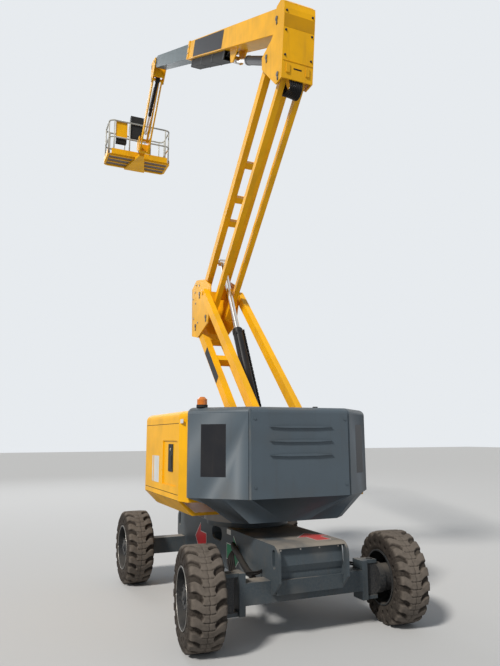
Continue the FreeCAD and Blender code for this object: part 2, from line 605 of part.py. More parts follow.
def ladder(label, at, pitch, length, half, bar, depth, rungs):
    """An arm of two bars side by side, round at the eyes and joined by short boxes."""
    made = body(label, at, pitch=pitch)
    for side in (1, -1):
        middle = f"{side} * ({half} - {bar} / 2)"
        slab(made, "Y", block("0", length, f"-{depth} / 2", f"{depth} / 2"), bar, at=middle)
        discs(made, "Y", [("0", "0", f"{depth} / 2 + 8"), (length, "0", f"{depth} / 2 + 8")], bar,
              at=middle)
    for low, high in rungs:
        slab(made, "Y", block(low, high, f"-{depth} / 2 + 12", f"{depth} / 2 - 12"),
             f"2 * ({half}) - {bar}")
    eyes(made, [("0", "0"), (length, "0")], f"2 * ({half}) + 2")
    return made


def links(label, at, pitch, length, inner, width, depth):
    """A pair of plain links that keep the next housing level."""
    made = body(label, at, pitch=pitch)
    for side in (1, -1):
        middle = f"{side} * ({inner} + {width} / 2)"
        slab(made, "Y", block("0", length, f"-{depth} / 2", f"{depth} / 2"), width, at=middle)
        discs(made, "Y", [("0", "0", f"{depth} / 2"), (length, "0", f"{depth} / 2")], width, at=middle)
    eyes(made, [("0", "0"), (length, "0")], f"2 * ({inner} + {width}) + 2")
    return made


def arms():
    """Lower arm and links, the knuckle between the stages, upper arm and links, and the boom head."""
    reach_x, reach_z = "lower_length * cos(stage_now)", "lower_length * sin(stage_now)"
    ladder("lower_arm", ("lower_foot_x", "0", "lower_foot_z"), "stage_now", "lower_length",
           "lower_half", "lower_bar", "lower_depth", [("570", "670"), ("1960", "2060"), ("2420", "2560")])
    link_inner = "lower_half + 2 * side_slack + plate_wall"
    links("lower_links", ("link_foot_x", "0", "link_foot_z"), "stage_now", "lower_length",
          link_inner, "link_width", "link_depth")

    # The knuckle's own frame stands on the lower arm's top pin.
    top = (f"lower_foot_x + {reach_x}", "0", f"lower_foot_z + {reach_z}")
    knuckle = body("knuckle_housing", top)
    plate_at = "lower_half + side_slack + plate_wall / 2"
    link_x, link_z = "link_foot_x - lower_foot_x", "link_foot_z - lower_foot_z"
    tie_x, tie_z = "upper_rise_x + tie_drop_x", "upper_rise_z + tie_drop_z"
    corners = [
        ("-95", "-190"), ("165", "-130"), ("185", "580"), ("-20", "670"), ("-330", "610"),
        (f"{link_x} - 95", f"{link_z} + 100"),
        (f"{link_x} - 95", f"{link_z} - 90"), (f"{tie_x} - 70", f"{tie_z} - 100")]
    for side in (1, -1):
        slab(knuckle, "Y", corners, "plate_wall", at=f"{side} * ({plate_at})")
        grip = f"{side} * (lower_half + side_slack + plate_wall / 2 - upper_bar / 2)"
        for x, z, inner in (("0", "0", "lower_half - lower_bar"), ("upper_rise_x", "upper_rise_z",
                                                                   "upper_half - upper_bar"),
                            (tie_x, tie_z, "tie_half - tie_width")):
            span = f"lower_half + side_slack + plate_wall - ({inner})"
            discs(knuckle, "Y", [(x, z, "pin_radius")], span, at=f"{side} * ({inner} + ({span}) / 2)")
        span = "side_slack + link_width + plate_wall + 10"
        discs(knuckle, "Y", [(link_x, link_z, "pin_radius")], span,
              at=f"{side} * (lower_half + side_slack + ({span}) / 2)")
    slab(knuckle, "Y", [("149", "-130"), ("165", "-130"), ("185", "580"), ("169", "580")],
         f"2 * ({plate_at})")

    upper_at = (f"{top[0]} + upper_rise_x", "0", f"{top[2]} + upper_rise_z")
    ladder("upper_arm", upper_at, "180 - stage_now", "upper_length", "upper_half", "upper_bar",
           "upper_depth", [("1100", "1180"), ("1440", "1520"), ("1910", "1990")])
    tie_at = (f"{upper_at[0]} + tie_drop_x", "0", f"{upper_at[2]} + tie_drop_z")
    links("upper_links", tie_at, "180 - stage_now", "upper_length", "tie_half - tie_width", "tie_width",
          "tie_depth")

    # The boom head's own frame stands on the upper arm's top pin.
    crown = (f"{upper_at[0]} - upper_length * cos(stage_now)", "0",
             f"{upper_at[2]} + upper_length * sin(stage_now)")
    head = body("boom_head", crown)
    plate_at = "upper_half + side_slack + plate_wall / 2"
    corners = [
        ("130", "-85"), ("130", "70"), ("-130", "125"), ("-230", "200"), ("-230", "350"), ("-280", "440"),
        ("-400", "450"), ("-470", "370"), ("-470", "300"),
        ("tie_drop_x - 90", "tie_drop_z - 90"), ("tie_drop_x + 60", "tie_drop_z - 90")]
    for side in (1, -1):
        slab(head, "Y", corners, "plate_wall", at=f"{side} * ({plate_at})")
        for x, z, inner in (("0", "0", "upper_half - upper_bar"), ("tie_drop_x", "tie_drop_z",
                                                                   "tie_half - tie_width")):
            span = f"upper_half + side_slack + plate_wall - ({inner})"
            discs(head, "Y", [(x, z, "pin_radius")], span, at=f"{side} * ({inner} + ({span}) / 2)")
    discs(head, "Y", [("boom_pivot_x", "boom_pivot_z", "pin_radius")],
          "2 * (upper_half + side_slack + plate_wall)")
    slab(head, "Y", [
        ("-470", "370"), ("-470", "300"), ("tie_drop_x - 90", "tie_drop_z - 90"), ("tie_drop_x - 76",
                                                                                   "tie_drop_z - 90"),
        ("-456", "300"), ("-456", "370")], f"2 * ({plate_at})")
    return top, upper_at, crown


def cylinder(label, foot, eye, barrel_length, barrel_radius, rod_radius, eye_half, foot_half):
    """A hydraulic cylinder between two pins: the barrel with its foot eye, the rod with its pin."""
    run_x, run_z = f"({eye[0]}) - ({foot[0]})", f"({eye[1]}) - ({foot[1]})"
    length = f"sqrt(({run_x}) ^ 2 + ({run_z}) ^ 2)"
    pitch = f"atan2({run_z}; {run_x})"
    at = (foot[0], "0", foot[1])
    barrel = body(f"{label}_barrel", at, pitch=pitch)
    gland = f"{rod_radius} + pin_slack"
    turned(barrel, "Y", [
        ("pin_radius + 22", "0"), (barrel_length, "0"), (barrel_length, f"{barrel_radius} - 10"),
        (f"{barrel_length} - 12", barrel_radius), ("pin_radius + 40", barrel_radius),
        ("pin_radius + 22", f"{barrel_radius} - 14")])
    discs(barrel, "X", [("0", "0", gland)], f"{barrel_length} - 150", at=f"(150 + {barrel_length}) / 2 + 1",
          cut=True)
    discs(barrel, "Y", [("0", "0", "pin_radius + 26")], f"2 * ({foot_half})")
    eyes(barrel, [("0", "0")], f"2 * ({foot_half}) + 2")
    rod = body(f"{label}_rod", at, pitch=pitch)
    turned(rod, "Y", [(f"{barrel_length} - 500", "0"), (length, "0"), (length, rod_radius),
                      (f"{barrel_length} - 500", rod_radius)])
    discs(rod, "Y", [(length, "0", "pin_radius + 20")], f"2 * ({eye_half} - 25)")
    discs(rod, "Y", [(length, "0", "pin_radius")], f"2 * ({eye_half} - 0.3)")
    return length, pitch


def booms(upper_at, crown):
    """Lift cylinder, telescopic boom with its own cylinder, and the fly section."""
    eye = (f"{upper_at[0]} - lift_eye_at * cos(stage_now)", f"{upper_at[2]} + lift_eye_at * sin(stage_now)")
    cylinder("lift", ("lower_foot_x", "lower_foot_z"), eye, "lift_barrel_length", "lift_barrel_radius",
             "lift_rod_radius", "upper_half - upper_bar", "lower_half - lower_bar - 6")
    cylinder("boom_lift", (crown[0], crown[2]), (f"{crown[0]} + boom_eye_x", f"{crown[2]} + boom_eye_z"),
             "boom_barrel_length", "boom_barrel_radius", "boom_rod_radius", "60",
             "upper_half - upper_bar - 6")

    pivot = (f"{crown[0]} + boom_pivot_x", "0", f"{crown[2]} + boom_pivot_z")
    boom = body("boom", pivot, pitch="boom_now")
    slab(boom, "X", block("-boom_width / 2", "boom_width / 2", "-boom_depth / 2", "boom_depth / 2"),
         "boom_length + boom_tail", at="(boom_length - boom_tail) / 2")
    slab(boom, "X", block("-boom_width / 2 - collar_rise", "boom_width / 2 + collar_rise",
                          "-boom_depth / 2 - collar_rise", "boom_depth / 2 + collar_rise"),
         "collar_length", at="boom_length - collar_length / 2")
    hole_y, hole_z = "boom_width / 2 - boom_wall", "boom_depth / 2 - boom_wall"
    slab(boom, "X", block(f"-({hole_y})", hole_y, f"-({hole_z})", hole_z), "boom_length",
         at="boom_length / 2 + 60", cut=True)
    # Wear pads at the mouth carry the fly.
    for side in (1, -1):
        low, high = "fly_width / 2 + pad_slack", "boom_width / 2 - 2"
        slab(boom, "X", block(f"{side} * ({low})", f"{side} * ({high})", "-fly_depth / 4", "fly_depth / 4"),
             "140", at="boom_length - 80")
        low, high = "fly_depth / 2 + pad_slack", "boom_depth / 2 - 2"
        slab(boom, "X", block("-fly_width / 3", "fly_width / 3", f"{side} * ({low})", f"{side} * ({high})"),
             "140", at="boom_length - 80")
    lug_x = "(boom_eye_x - boom_pivot_x) * cos(boom_now) + (boom_eye_z - boom_pivot_z) * sin(boom_now)"
    lug_z = "(boom_eye_z - boom_pivot_z) * cos(boom_now) - (boom_eye_x - boom_pivot_x) * sin(boom_now)"
    for side in (1, -1):
        slab(boom, "Y", [
            (f"{lug_x} - 170", "-boom_depth / 2 + 2"), (f"{lug_x} - 50", f"{lug_z} - 45"),
            (f"{lug_x} + 50", f"{lug_z} - 45"), (f"{lug_x} + 170", "-boom_depth / 2 + 2")],
            "plate_wall", at=f"{side} * (60 + plate_wall / 2)")
    discs(boom, "Y", [("0", "0", "pin_radius + 30")], "2 * upper_half")
    eyes(boom, [("0", "0")], "2 * upper_half + 2")

    duct = body("hose_duct", pivot, pitch="boom_now")
    roof = "-boom_depth / 2 - seat_slack"
    along, run = "(duct_start + duct_end) / 2", "duct_end - duct_start"
    slab(duct, "X", block("-duct_width / 2", "duct_width / 2", f"{roof} - duct_depth", roof), run, at=along)
    slab(duct, "X", block("-duct_width / 2 + duct_wall", "duct_width / 2 - duct_wall",
                          f"{roof} - duct_depth + duct_wall",
                          f"{roof} - duct_wall"), f"{run} + 2", at=along, cut=True)

    fly = body("fly", pivot, pitch="boom_now")
    middle, run = "(fly_start + fly_end) / 2", "fly_end - fly_start"
    slab(fly, "X", block("-fly_width / 2", "fly_width / 2", "-fly_depth / 2", "fly_depth / 2"), run,
         at=middle)
    slab(fly, "X", block("-fly_width / 2 + fly_wall", "fly_width / 2 - fly_wall",
                         "-fly_depth / 2 + fly_wall",
                         "fly_depth / 2 - fly_wall"), f"{run} + 2", at=middle, cut=True)
    for side in (1, -1):
        slab(fly, "Y", [
            ("fly_end - 240", "-fly_depth / 2"), ("fly_end - 60", "-fly_depth / 2"), ("nose_at + 60",
                                                                                      "-60"),
            ("nose_at + 60", "60"), ("fly_end - 60", "fly_depth / 2"), ("fly_end - 240", "fly_depth / 2")],
            "plate_wall", at=f"{side} * (fly_width / 2 - plate_wall / 2)")
    eyes(fly, [("nose_at", "0")], "fly_width + 2")
    return pivot


def jib(pivot):
    """Level foot, jib arm with its links and diagonal cylinder, and the bracket that stays upright."""
    foot = (f"{pivot[0]} + nose_at * cos(boom_now)", "0", f"{pivot[2]} + nose_at * sin(boom_now)")
    inner = "fly_width / 2 + side_slack"
    cheek = f"{inner} + plate_wall / 2"
    made = body("jib_foot", foot)
    for side in (1, -1):
        slab(made, "Y", [
            ("-70", "-60"), ("-70", "60"), ("jib_ahead - 60", "jib_above + 80"), ("jib_ahead + 60",
                                                                                  "jib_above + 70"),
            ("jib_ahead + 60", "jib_above - jib_drop - 50"), ("jib_ahead - 60",
                                                              "jib_above - jib_drop - 50")],
            "plate_wall", at=f"{side} * ({cheek})")
    slab(made, "Y", block("jib_ahead - 130", "jib_ahead - 114", "jib_above - jib_drop", "jib_above + 40"),
         f"2 * ({cheek})")
    discs(made, "Y", [("0", "0", "pin_radius"), ("jib_ahead", "jib_above", "pin_radius"),
                      ("jib_ahead", "jib_above - jib_drop", "pin_radius")], f"2 * ({inner} + plate_wall)")

    root = (f"{foot[0]} + jib_ahead", "0", f"{foot[2]} + jib_above")
    arm = body("jib_arm", root, pitch="jib_now")
    for side in (1, -1):
        slab(arm, "Y", block("0", "jib_length", "-jib_depth / 2", "jib_depth / 2"), "jib_bar",
             at=f"{side} * (jib_half - jib_bar / 2)")
        discs(arm, "Y", [("0", "0", "jib_depth / 2"), ("jib_length", "0", "jib_depth / 2")], "jib_bar",
              at=f"{side} * (jib_half - jib_bar / 2)")
    slab(arm, "Y", block("80", "215", "jib_depth / 2 - 22", "jib_depth / 2 - 6"), "2 * jib_half - jib_bar")
    eyes(arm, [("0", "0"), ("jib_length", "0")], "2 * jib_half + 2")
    for side in (1, -1):
        discs(arm, "Y", [("jib_eye_at", "0", "pin_radius + 16")], "10",
              at=f"{side} * (jib_half - jib_bar - 4)")
    links("jib_links", (root[0], "0", f"{root[2]} - jib_drop"), "jib_now", "jib_length",
          f"{inner} - side_slack - rail_width", "rail_width", "rail_depth")
    cylinder("jib_lift", (root[0], f"{root[2]} - jib_drop"),
             (f"{root[0]} + jib_eye_at * cos(jib_now)", f"{root[2]} + jib_eye_at * sin(jib_now)"),
             "jib_barrel_length", "jib_barrel_radius", "jib_rod_radius", "jib_half - jib_bar - 9",
             "jib_half - jib_bar - 4")

    tip = (f"{root[0]} + jib_length * cos(jib_now)", "0", f"{root[2]} + jib_length * sin(jib_now)")
    bracket = body("cage_bracket", tip)
    for side in (1, -1):
        slab(bracket, "Y", [
            ("-60", "60"), ("40", "70"), ("post_ahead", "0"), ("post_ahead", "-post_length - 30"),
            ("-60", "-jib_drop - 50")], "plate_wall", at=f"{side} * ({cheek})")
    discs(bracket, "Y", [("0", "0", "pin_radius"), ("0", "-jib_drop", "pin_radius")],
          f"2 * ({inner} + plate_wall)")
    slab(bracket, "Y", block("post_ahead - 16", "post_ahead", "-post_length - 30", "0"), f"2 * ({cheek})")
    discs(bracket, "Z", [("post_ahead + post_radius + 8", "0", "post_radius + 14")], "post_length",
          at="-post_length / 2 - 40")
    slab(bracket, "Z", block("post_ahead - 10", "post_ahead + post_radius", "-50", "50"),
         "post_length - 60",
         at="-post_length / 2 - 40")
    return tip


def tube(runs, radius):
    """A round tube along points, mitred where it turns."""
    spine = Part.makePolygon(runs)
    heading = (runs[1] - runs[0]).normalize()
    ring = Part.Wire(Part.Circle(runs[0], heading, radius).toShape())
    sweep = Part.BRepOffsetAPI.MakePipeShell(spine)
    sweep.setTransitionMode(1)
    sweep.add(ring, False, False)
    sweep.build()
    sweep.makeSolid()
    return sweep.shape()


def cornered(points, bend):
    """A run of points whose inner corners are each cut off by a bend's reach."""
    made = [points[0]]
    for before, corner, after in zip(points, points[1:], points[2:]):
        made.append(corner + (before - corner).normalize() * bend)
        made.append(corner + (after - corner).normalize() * bend)
    made.append(points[-1])
    return [made[0]] + [point for last, point in zip(made, made[1:]) if (point - last).Length > 1]


def piece(label, solids, at):
    """A sub-part whose shape is worked out here from the sheet's sizes."""
    made = doc.addObject("Part::Feature", label)
    made.Label = label
    shape = solids[0]
    for other in solids[1:]:
        shape = shape.fuse(other)
    made.Shape = shape
    made.Placement = Placement(Vector(*(size(text) for text in at)), Rotation())
    parts.append(made)
    return made


def basket(tip):
    """Floor, rails, toe boards, control box and the bar that lifts at the way in."""
    post = (f"{tip[0]} + post_ahead + post_radius + 8", "0", tip[2])
    near_x, far_x = "cage_ahead", "cage_ahead + cage_depth"
    half = "cage_length / 2"
    ground = "cage_floor"
    floor = body("cage_floor", post)
    slab(floor, "Z", block(near_x, far_x, f"-{half}", half), "sheet_wall", at=f"{ground} + sheet_wall / 2")

    def upright(middle, edge):
        return near(edge.tangentAt(edge.FirstParameter).z ** 2, 1)

    soften(floor, "cage_bend", upright)
    slab(floor, "Z", block(f"{near_x} + tread_inset", f"{far_x} - tread_inset", f"-({half} - tread_inset)",
                           f"{half} - tread_inset"), "sheet_wall + 1",
                           at=f"{ground} + (3 * sheet_wall - 1) / 2")
    # A tray under the floor widens from the turning post to the far side and carries the basket.
    slab(floor, "Z", [("-45", "-60"), (f"{far_x} - 60", "-cage_post"), (f"{far_x} - 60", "cage_post"),
                      ("-45", "60")],
         "60", at=f"{ground} - 30 + 1")
    for along in (f"{near_x} + 60", f"{far_x} - 90"):
        slab(floor, "X", block(f"-{half} + 60", f"{half} - 60", f"{ground} - 30", f"{ground} + 1"), "40",
             at=along)
    discs(floor, "Z", [("0", "0", "post_radius + 20")], "20", at="-post_length - 40 - 10.3")
    slab(floor, "Y", block("-45", "45", f"{ground} - 59", "-post_length - 55"), "90")

    x0, x1 = size(near_x), size(far_x)
    y1, z0, high = size(half), size(ground), size("cage_height")
    pipe, bend, thin = size("rail_radius"), size("cage_bend"), size("rail_radius - 3")
    inset = pipe + 2 * size("sheet_wall") + 0.3 - 3
    mid_z, top_z = z0 + high / 2, z0 + high - pipe
    side_y, back, ahead = y1 - inset, x0 + inset, x1 - inset
    step = z0 + size("sheet_wall") + 0.3
    top_loop = [(back, 0), (back, -side_y), (ahead, -side_y), (ahead, side_y), (back, side_y), (back, 0)]
    mid_loop = [(ahead - bend, -side_y), (ahead, -side_y), (ahead, side_y), (back, side_y), (back, -side_y),
                (back + bend, -side_y)]
    rails = [tube(cornered([Vector(x, y, level) for x, y in loop], bend), pipe)
             for loop, level in ((top_loop, top_z), (mid_loop, mid_z))]
    inner = size("cage_post")
    posts = [(x, y) for x in (back, ahead) for y in (inner, -inner, side_y - bend, bend - side_y)]
    posts += [(x, side * side_y) for side in (1, -1) for x in (back + bend, ahead - bend)]
    for x, y in posts:
        rails.append(Part.makeCylinder(thin, top_z - step, Vector(x, y, step)))
    piece("cage_rails", rails, post)

    boards = body("cage_panels", post)
    wall = "sheet_wall"
    foot = f"{ground} + {wall} + toe_height / 2 + 0.3"
    slab(boards, "Z", block(f"{near_x} + 1", f"{far_x} - 1", f"-{half} + 1", f"{half} - 1"), "toe_height",
         at=foot)
    soften(boards, "cage_bend - 1", upright)
    slab(boards, "Z", block(f"{near_x} + 1 + {wall}", f"{far_x} - 1 - {wall}", f"-{half} + 1 + {wall}",
                            f"{half} - 1 - {wall}"), "toe_height + 2", at=foot, cut=True)
    inside = f"{near_x} + 2 * rail_radius + 2 * {wall} - 2.4"
    slab(boards, "X", block("cage_post + rail_radius + 40", f"{half} - cage_bend - 60",
                            f"{ground} + cage_height / 2 + 12",
                            f"{ground} + cage_height - 11"), wall, at=f"{inside} + {wall} / 2")

    console = body("control_box", post)
    low, high_z = f"{ground} + 510", f"{ground} + cage_height"
    slab(console, "Y", [
        (inside, low), (f"{inside} + 150", low), (f"{inside} + 230", f"{high_z} - 40"),
        (f"{inside} + 60", f"{high_z} + console_rise"), (inside, f"{high_z} + console_rise")],
        "console_width", at="console_middle")
    box_low, box_high = "cage_post + rail_radius + 50", f"{half} - cage_bend - 80"
    slab(console, "Z", block(f"{inside} + {wall} + 0.3", f"{inside} + {wall} + 120", box_low, box_high),
         "140",
         at=f"{ground} + cage_height / 2 - 40")

    bar = body("gate_bar", post)
    free = "cage_bend + rail_radius - 3 + 0.3"
    discs(bar, "X", [(f"-({half} - {inset})", f"{ground} + cage_height / 2", "rail_radius - 3")],
          f"cage_depth - 2 * {inset} - 2 * ({free})", at=f"({near_x} + {far_x}) / 2")


def save():
    """Check every object, then write each sub-part to its own file."""
    doc.recompute()
    for item in doc.Objects:
        if {"Invalid", "Error"} & set(item.State):
            raise RuntimeError(f"{item.Label} could not be built")
    os.makedirs("parts", exist_ok=True)
    for made in parts:
        if made.Shape.isNull() or not made.Shape.isValid():
            raise RuntimeError(f"{made.Label} has no valid shape")
        made.Shape.exportStep(f"parts/{made.Label}.step")


chassis()
axles()
knuckles()
wheels()
turret()
top, upper_at, crown = arms()
pivot = booms(upper_at, crown)
tip = jib(pivot)
basket(tip)
save()
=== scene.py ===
from math import cos, pi, radians, sin, tau

import bmesh
import bpy
import numpy as np
from mathutils import Matrix, Vector


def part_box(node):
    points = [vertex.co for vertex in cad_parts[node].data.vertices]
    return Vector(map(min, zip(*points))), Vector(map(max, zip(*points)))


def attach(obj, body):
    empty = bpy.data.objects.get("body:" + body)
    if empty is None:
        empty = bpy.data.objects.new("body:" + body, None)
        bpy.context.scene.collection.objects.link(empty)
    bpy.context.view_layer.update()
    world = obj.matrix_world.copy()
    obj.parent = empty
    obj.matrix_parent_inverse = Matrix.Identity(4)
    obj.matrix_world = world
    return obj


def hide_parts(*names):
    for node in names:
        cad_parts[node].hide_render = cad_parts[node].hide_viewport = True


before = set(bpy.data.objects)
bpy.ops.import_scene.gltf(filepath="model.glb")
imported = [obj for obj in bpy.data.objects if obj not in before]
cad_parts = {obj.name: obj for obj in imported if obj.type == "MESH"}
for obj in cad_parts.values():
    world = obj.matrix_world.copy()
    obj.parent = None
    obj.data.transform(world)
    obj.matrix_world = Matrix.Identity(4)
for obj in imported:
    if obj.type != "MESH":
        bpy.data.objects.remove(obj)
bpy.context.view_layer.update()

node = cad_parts

# Camera
# The photographer stood behind the machine's left rear wheel and looked up a little,
# with a wide lens held upright at eye height.
photo_height, focal_pixels = 666, 579.8
eye = Vector((-6.4826, 2.7621, 1.8315))
heading, upward, roll = radians(-23.4), radians(10.11), radians(-0.21)
camera_data = bpy.data.cameras.new("camera")
camera_data.lens = focal_pixels / photo_height * camera_data.sensor_width
camera_data.clip_end = 200
camera = bpy.data.objects.new("camera", camera_data)
camera.matrix_world = (Matrix.Translation(eye) @ Matrix.Rotation(heading - pi / 2, 4, "Z")
                       @ Matrix.Rotation(pi / 2 + upward, 4, "X") @ Matrix.Rotation(roll, 4, "Z"))
bpy.context.scene.collection.objects.link(camera)
bpy.context.scene.camera = camera
bpy.context.scene.view_settings.view_transform = "Standard"


# Floor and light
# A pale floor that runs out of sight under a pale sky, a high soft sun from the left as in the
# photo, and two broad weak lamps that open the shadows on the right and in front.
def new_material(name):
    """A material with its shader, its output and nothing else in its node tree."""
    made = bpy.data.materials.new(name)
    made.use_nodes = True
    made.node_tree.nodes.clear()
    shader = made.node_tree.nodes.new("ShaderNodeBsdfPrincipled")
    output = made.node_tree.nodes.new("ShaderNodeOutputMaterial")
    made.node_tree.links.new(shader.outputs[0], output.inputs["Surface"])
    return made, shader


world = bpy.data.worlds.new("sky")
bpy.context.scene.world = world
world.use_nodes = True
sky_tree = world.node_tree
sky = sky_tree.nodes["Background"]
sky.inputs["Color"].default_value = (0.88, 0.94, 1.0, 1)
sky.inputs["Strength"].default_value = 0.33
seen, plain, mixed = (sky_tree.nodes.new(f"ShaderNode{kind}") for kind in ("LightPath", "Background", "MixShader"))
direct, any_ray = sky_tree.nodes.new("ShaderNodeMath"), sky_tree.nodes.new("ShaderNodeMath")
plain.inputs["Color"].default_value = (0.80, 0.83, 0.86, 1)
direct.operation = any_ray.operation = "MAXIMUM"
for source, target in (
        (seen.outputs["Is Camera Ray"], direct.inputs[0]), (seen.outputs["Is Glossy Ray"], direct.inputs[1]),
        (direct.outputs[0], any_ray.inputs[0]), (seen.outputs["Is Transmission Ray"], any_ray.inputs[1]),
        (any_ray.outputs[0], mixed.inputs[0]), (sky.outputs[0], mixed.inputs[1]), (plain.outputs[0], mixed.inputs[2]),
        (mixed.outputs[0], sky_tree.nodes["World Output"].inputs["Surface"])):
    sky_tree.links.new(source, target)

floor_reach = 70.0
floor_mesh = bpy.data.meshes.new("floor")
floor_corners = [(x * floor_reach, y * floor_reach, 0) for x, y in ((-1, -1), (1, -1), (1, 1), (-1, 1))]
floor_mesh.from_pydata(floor_corners, [], [(0, 1, 2, 3)])
floor = bpy.data.objects.new("floor", floor_mesh)
bpy.context.scene.collection.objects.link(floor)
floor_look, floor_shader = new_material("floor")
floor_shader.inputs["Base Color"].default_value = (0.50, 0.505, 0.51, 1)
floor_shader.inputs["Roughness"].default_value = 0.9
floor_shader.inputs["Specular IOR Level"].default_value = 0.1
floor_mesh.materials.append(floor_look)


def lamp_at(name, kind, place, strength, tint):
    """A lamp at a place, aimed at a point 3 m above the machine's foot."""
    light = bpy.data.lights.new(name, kind)
    light.energy, light.color = strength, tint
    lamp = bpy.data.objects.new(name, light)
    aim = Vector((1, 0, 3)) - Vector(place)
    lamp.matrix_world = Matrix.Translation(place) @ aim.to_track_quat("-Z", "Y").to_matrix().to_4x4()
    bpy.context.scene.collection.objects.link(lamp)
    return light


lamp_at("sun_side", "SUN", (-8, 14, 18), 3.5, (1.0, 0.96, 0.90)).angle = radians(9)
lamp_at("fill_side", "AREA", (-13, -9, 5), 150, (0.90, 0.95, 1.0)).size = 9
lamp_at("front_side", "AREA", (16, 2, 12), 700, (0.95, 0.97, 1.0)).size = 9


# Paint, dust and wear
# One shader group lays blotches, settled dust, mud splashed up from the ground and running
# streaks over any base colour. Each finish is set in the section whose pieces first wear it.
def join_sockets(tree, *pairs):
    """Links pairs of sockets in a node tree."""
    for source, target in pairs:
        tree.links.new(source, target)


def math_node(tree, operation, first, second=None, clamp=False):
    """A math node whose inputs are sockets or numbers; gives its output."""
    made = tree.nodes.new("ShaderNodeMath")
    made.operation, made.use_clamp = operation, clamp
    for index, value in enumerate(item for item in (first, second) if item is not None):
        if isinstance(value, (int, float)):
            made.inputs[index].default_value = value
        else:
            tree.links.new(value, made.inputs[index])
    return made.outputs[0]


def noise_node(tree, place, scale, detail=4.0, stretch=(1, 1, 1)):
    """Noise on object coordinates, stretched by a factor along each axis; gives its value."""
    mapping, made = tree.nodes.new("ShaderNodeMapping"), tree.nodes.new("ShaderNodeTexNoise")
    mapping.inputs["Scale"].default_value = stretch
    made.inputs["Scale"].default_value, made.inputs["Detail"].default_value = scale, detail
    join_sockets(tree, (place, mapping.inputs[0]), (mapping.outputs[0], made.inputs["Vector"]))
    return made.outputs["Fac"]


def range_node(tree, value, low, high):
    """0 below one value, 1 above the other and smooth between."""
    made = tree.nodes.new("ShaderNodeMapRange")
    made.interpolation_type = "SMOOTHSTEP"
    made.inputs["From Min"].default_value, made.inputs["From Max"].default_value = low, high
    tree.links.new(value, made.inputs["Value"])
    return made.outputs["Result"]


def mix_node(tree, factor, first, second):
    """A colour mixed from two by a factor."""
    made = tree.nodes.new("ShaderNodeMix")
    made.data_type = "RGBA"
    for socket, value in ((made.inputs["Factor"], factor), (made.inputs[6], first), (made.inputs[7], second)):
        if isinstance(value, tuple):
            socket.default_value = value
        else:
            tree.links.new(value, socket)
    return made.outputs[2]


weather = bpy.data.node_groups.new("weather", "ShaderNodeTree")
for name, kind in (("Base", "Color"), ("Roughness", "Float"), ("Dust", "Float"), ("Dust Color", "Color"),
                   ("Streaks", "Float"), ("Mud", "Float")):
    weather.interface.new_socket(name, in_out="INPUT", socket_type=f"NodeSocket{kind}")
for name, kind in (("Color", "Color"), ("Roughness", "Float"), ("Height", "Float")):
    weather.interface.new_socket(name, in_out="OUTPUT", socket_type=f"NodeSocket{kind}")
given, result = weather.nodes.new("NodeGroupInput"), weather.nodes.new("NodeGroupOutput")
place = weather.nodes.new("ShaderNodeTexCoord").outputs["Object"]
facing = weather.nodes.new("ShaderNodeSeparateXYZ")
height = weather.nodes.new("ShaderNodeSeparateXYZ")
join_sockets(weather, (weather.nodes.new("ShaderNodeNewGeometry").outputs["Normal"], facing.inputs[0]),
             (place, height.inputs[0]))
grime, run_mark, road_dust = (0.02, 0.02, 0.02, 1), (0.055, 0.045, 0.035, 1), (0.30, 0.26, 0.215, 1)
splash_low, splash_high = 0.25, 1.15
blotch = noise_node(weather, place, 2.6, 7)
grain = noise_node(weather, place, 55, 3)
runs = noise_node(weather, place, 1.0, 5, (16, 16, 1.3))
up = range_node(weather, facing.outputs["Z"], 0.25, 0.95)
upright = math_node(weather, "SUBTRACT", 1.0, up)
splashed = math_node(weather, "SUBTRACT", 1.0, range_node(weather, height.outputs["Z"], splash_low, splash_high))
settled = math_node(weather, "MULTIPLY", up, range_node(weather, blotch, 0.3, 0.62))
thin = math_node(weather, "MULTIPLY", range_node(weather, blotch, 0.42, 0.75), 0.25)
dust = math_node(weather, "MULTIPLY", given.outputs["Dust"], math_node(weather, "MAXIMUM", settled, thin))
mud = math_node(weather, "MULTIPLY", given.outputs["Mud"],
                math_node(weather, "MULTIPLY", splashed, range_node(weather, grain, 0.25, 0.75)))
covered = math_node(weather, "MAXIMUM", dust, mud, clamp=True)
running = math_node(weather, "MULTIPLY", range_node(weather, runs, 0.52, 0.72), upright)
streaked = math_node(weather, "MULTIPLY", running, given.outputs["Streaks"])
shade = math_node(weather, "MULTIPLY", range_node(weather, blotch, 0.35, 0.65), 0.16)
toned = mix_node(weather, shade, given.outputs["Base"], grime)
dusty = mix_node(weather, covered, mix_node(weather, streaked, toned, run_mark), given.outputs["Dust Color"])
rougher, thicker = (math_node(weather, "MULTIPLY", covered, share) for share in (0.4, 0.5))
rough = math_node(weather, "ADD", given.outputs["Roughness"], rougher, clamp=True)
join_sockets(weather, (dusty, result.inputs["Color"]), (rough, result.inputs["Roughness"]),
             (math_node(weather, "ADD", grain, thicker), result.inputs["Height"]))


def weathered(tree, colour, roughness, dust, streaks, mud):
    """The shared weather placed in a material with that finish's own values."""
    worn = tree.nodes.new("ShaderNodeGroup")
    worn.node_tree = weather
    for name, value in (("Base", (*colour, 1)), ("Roughness", roughness), ("Dust", dust), ("Dust Color", road_dust),
                        ("Streaks", streaks), ("Mud", mud)):
        worn.inputs[name].default_value = value
    return worn


look = {}


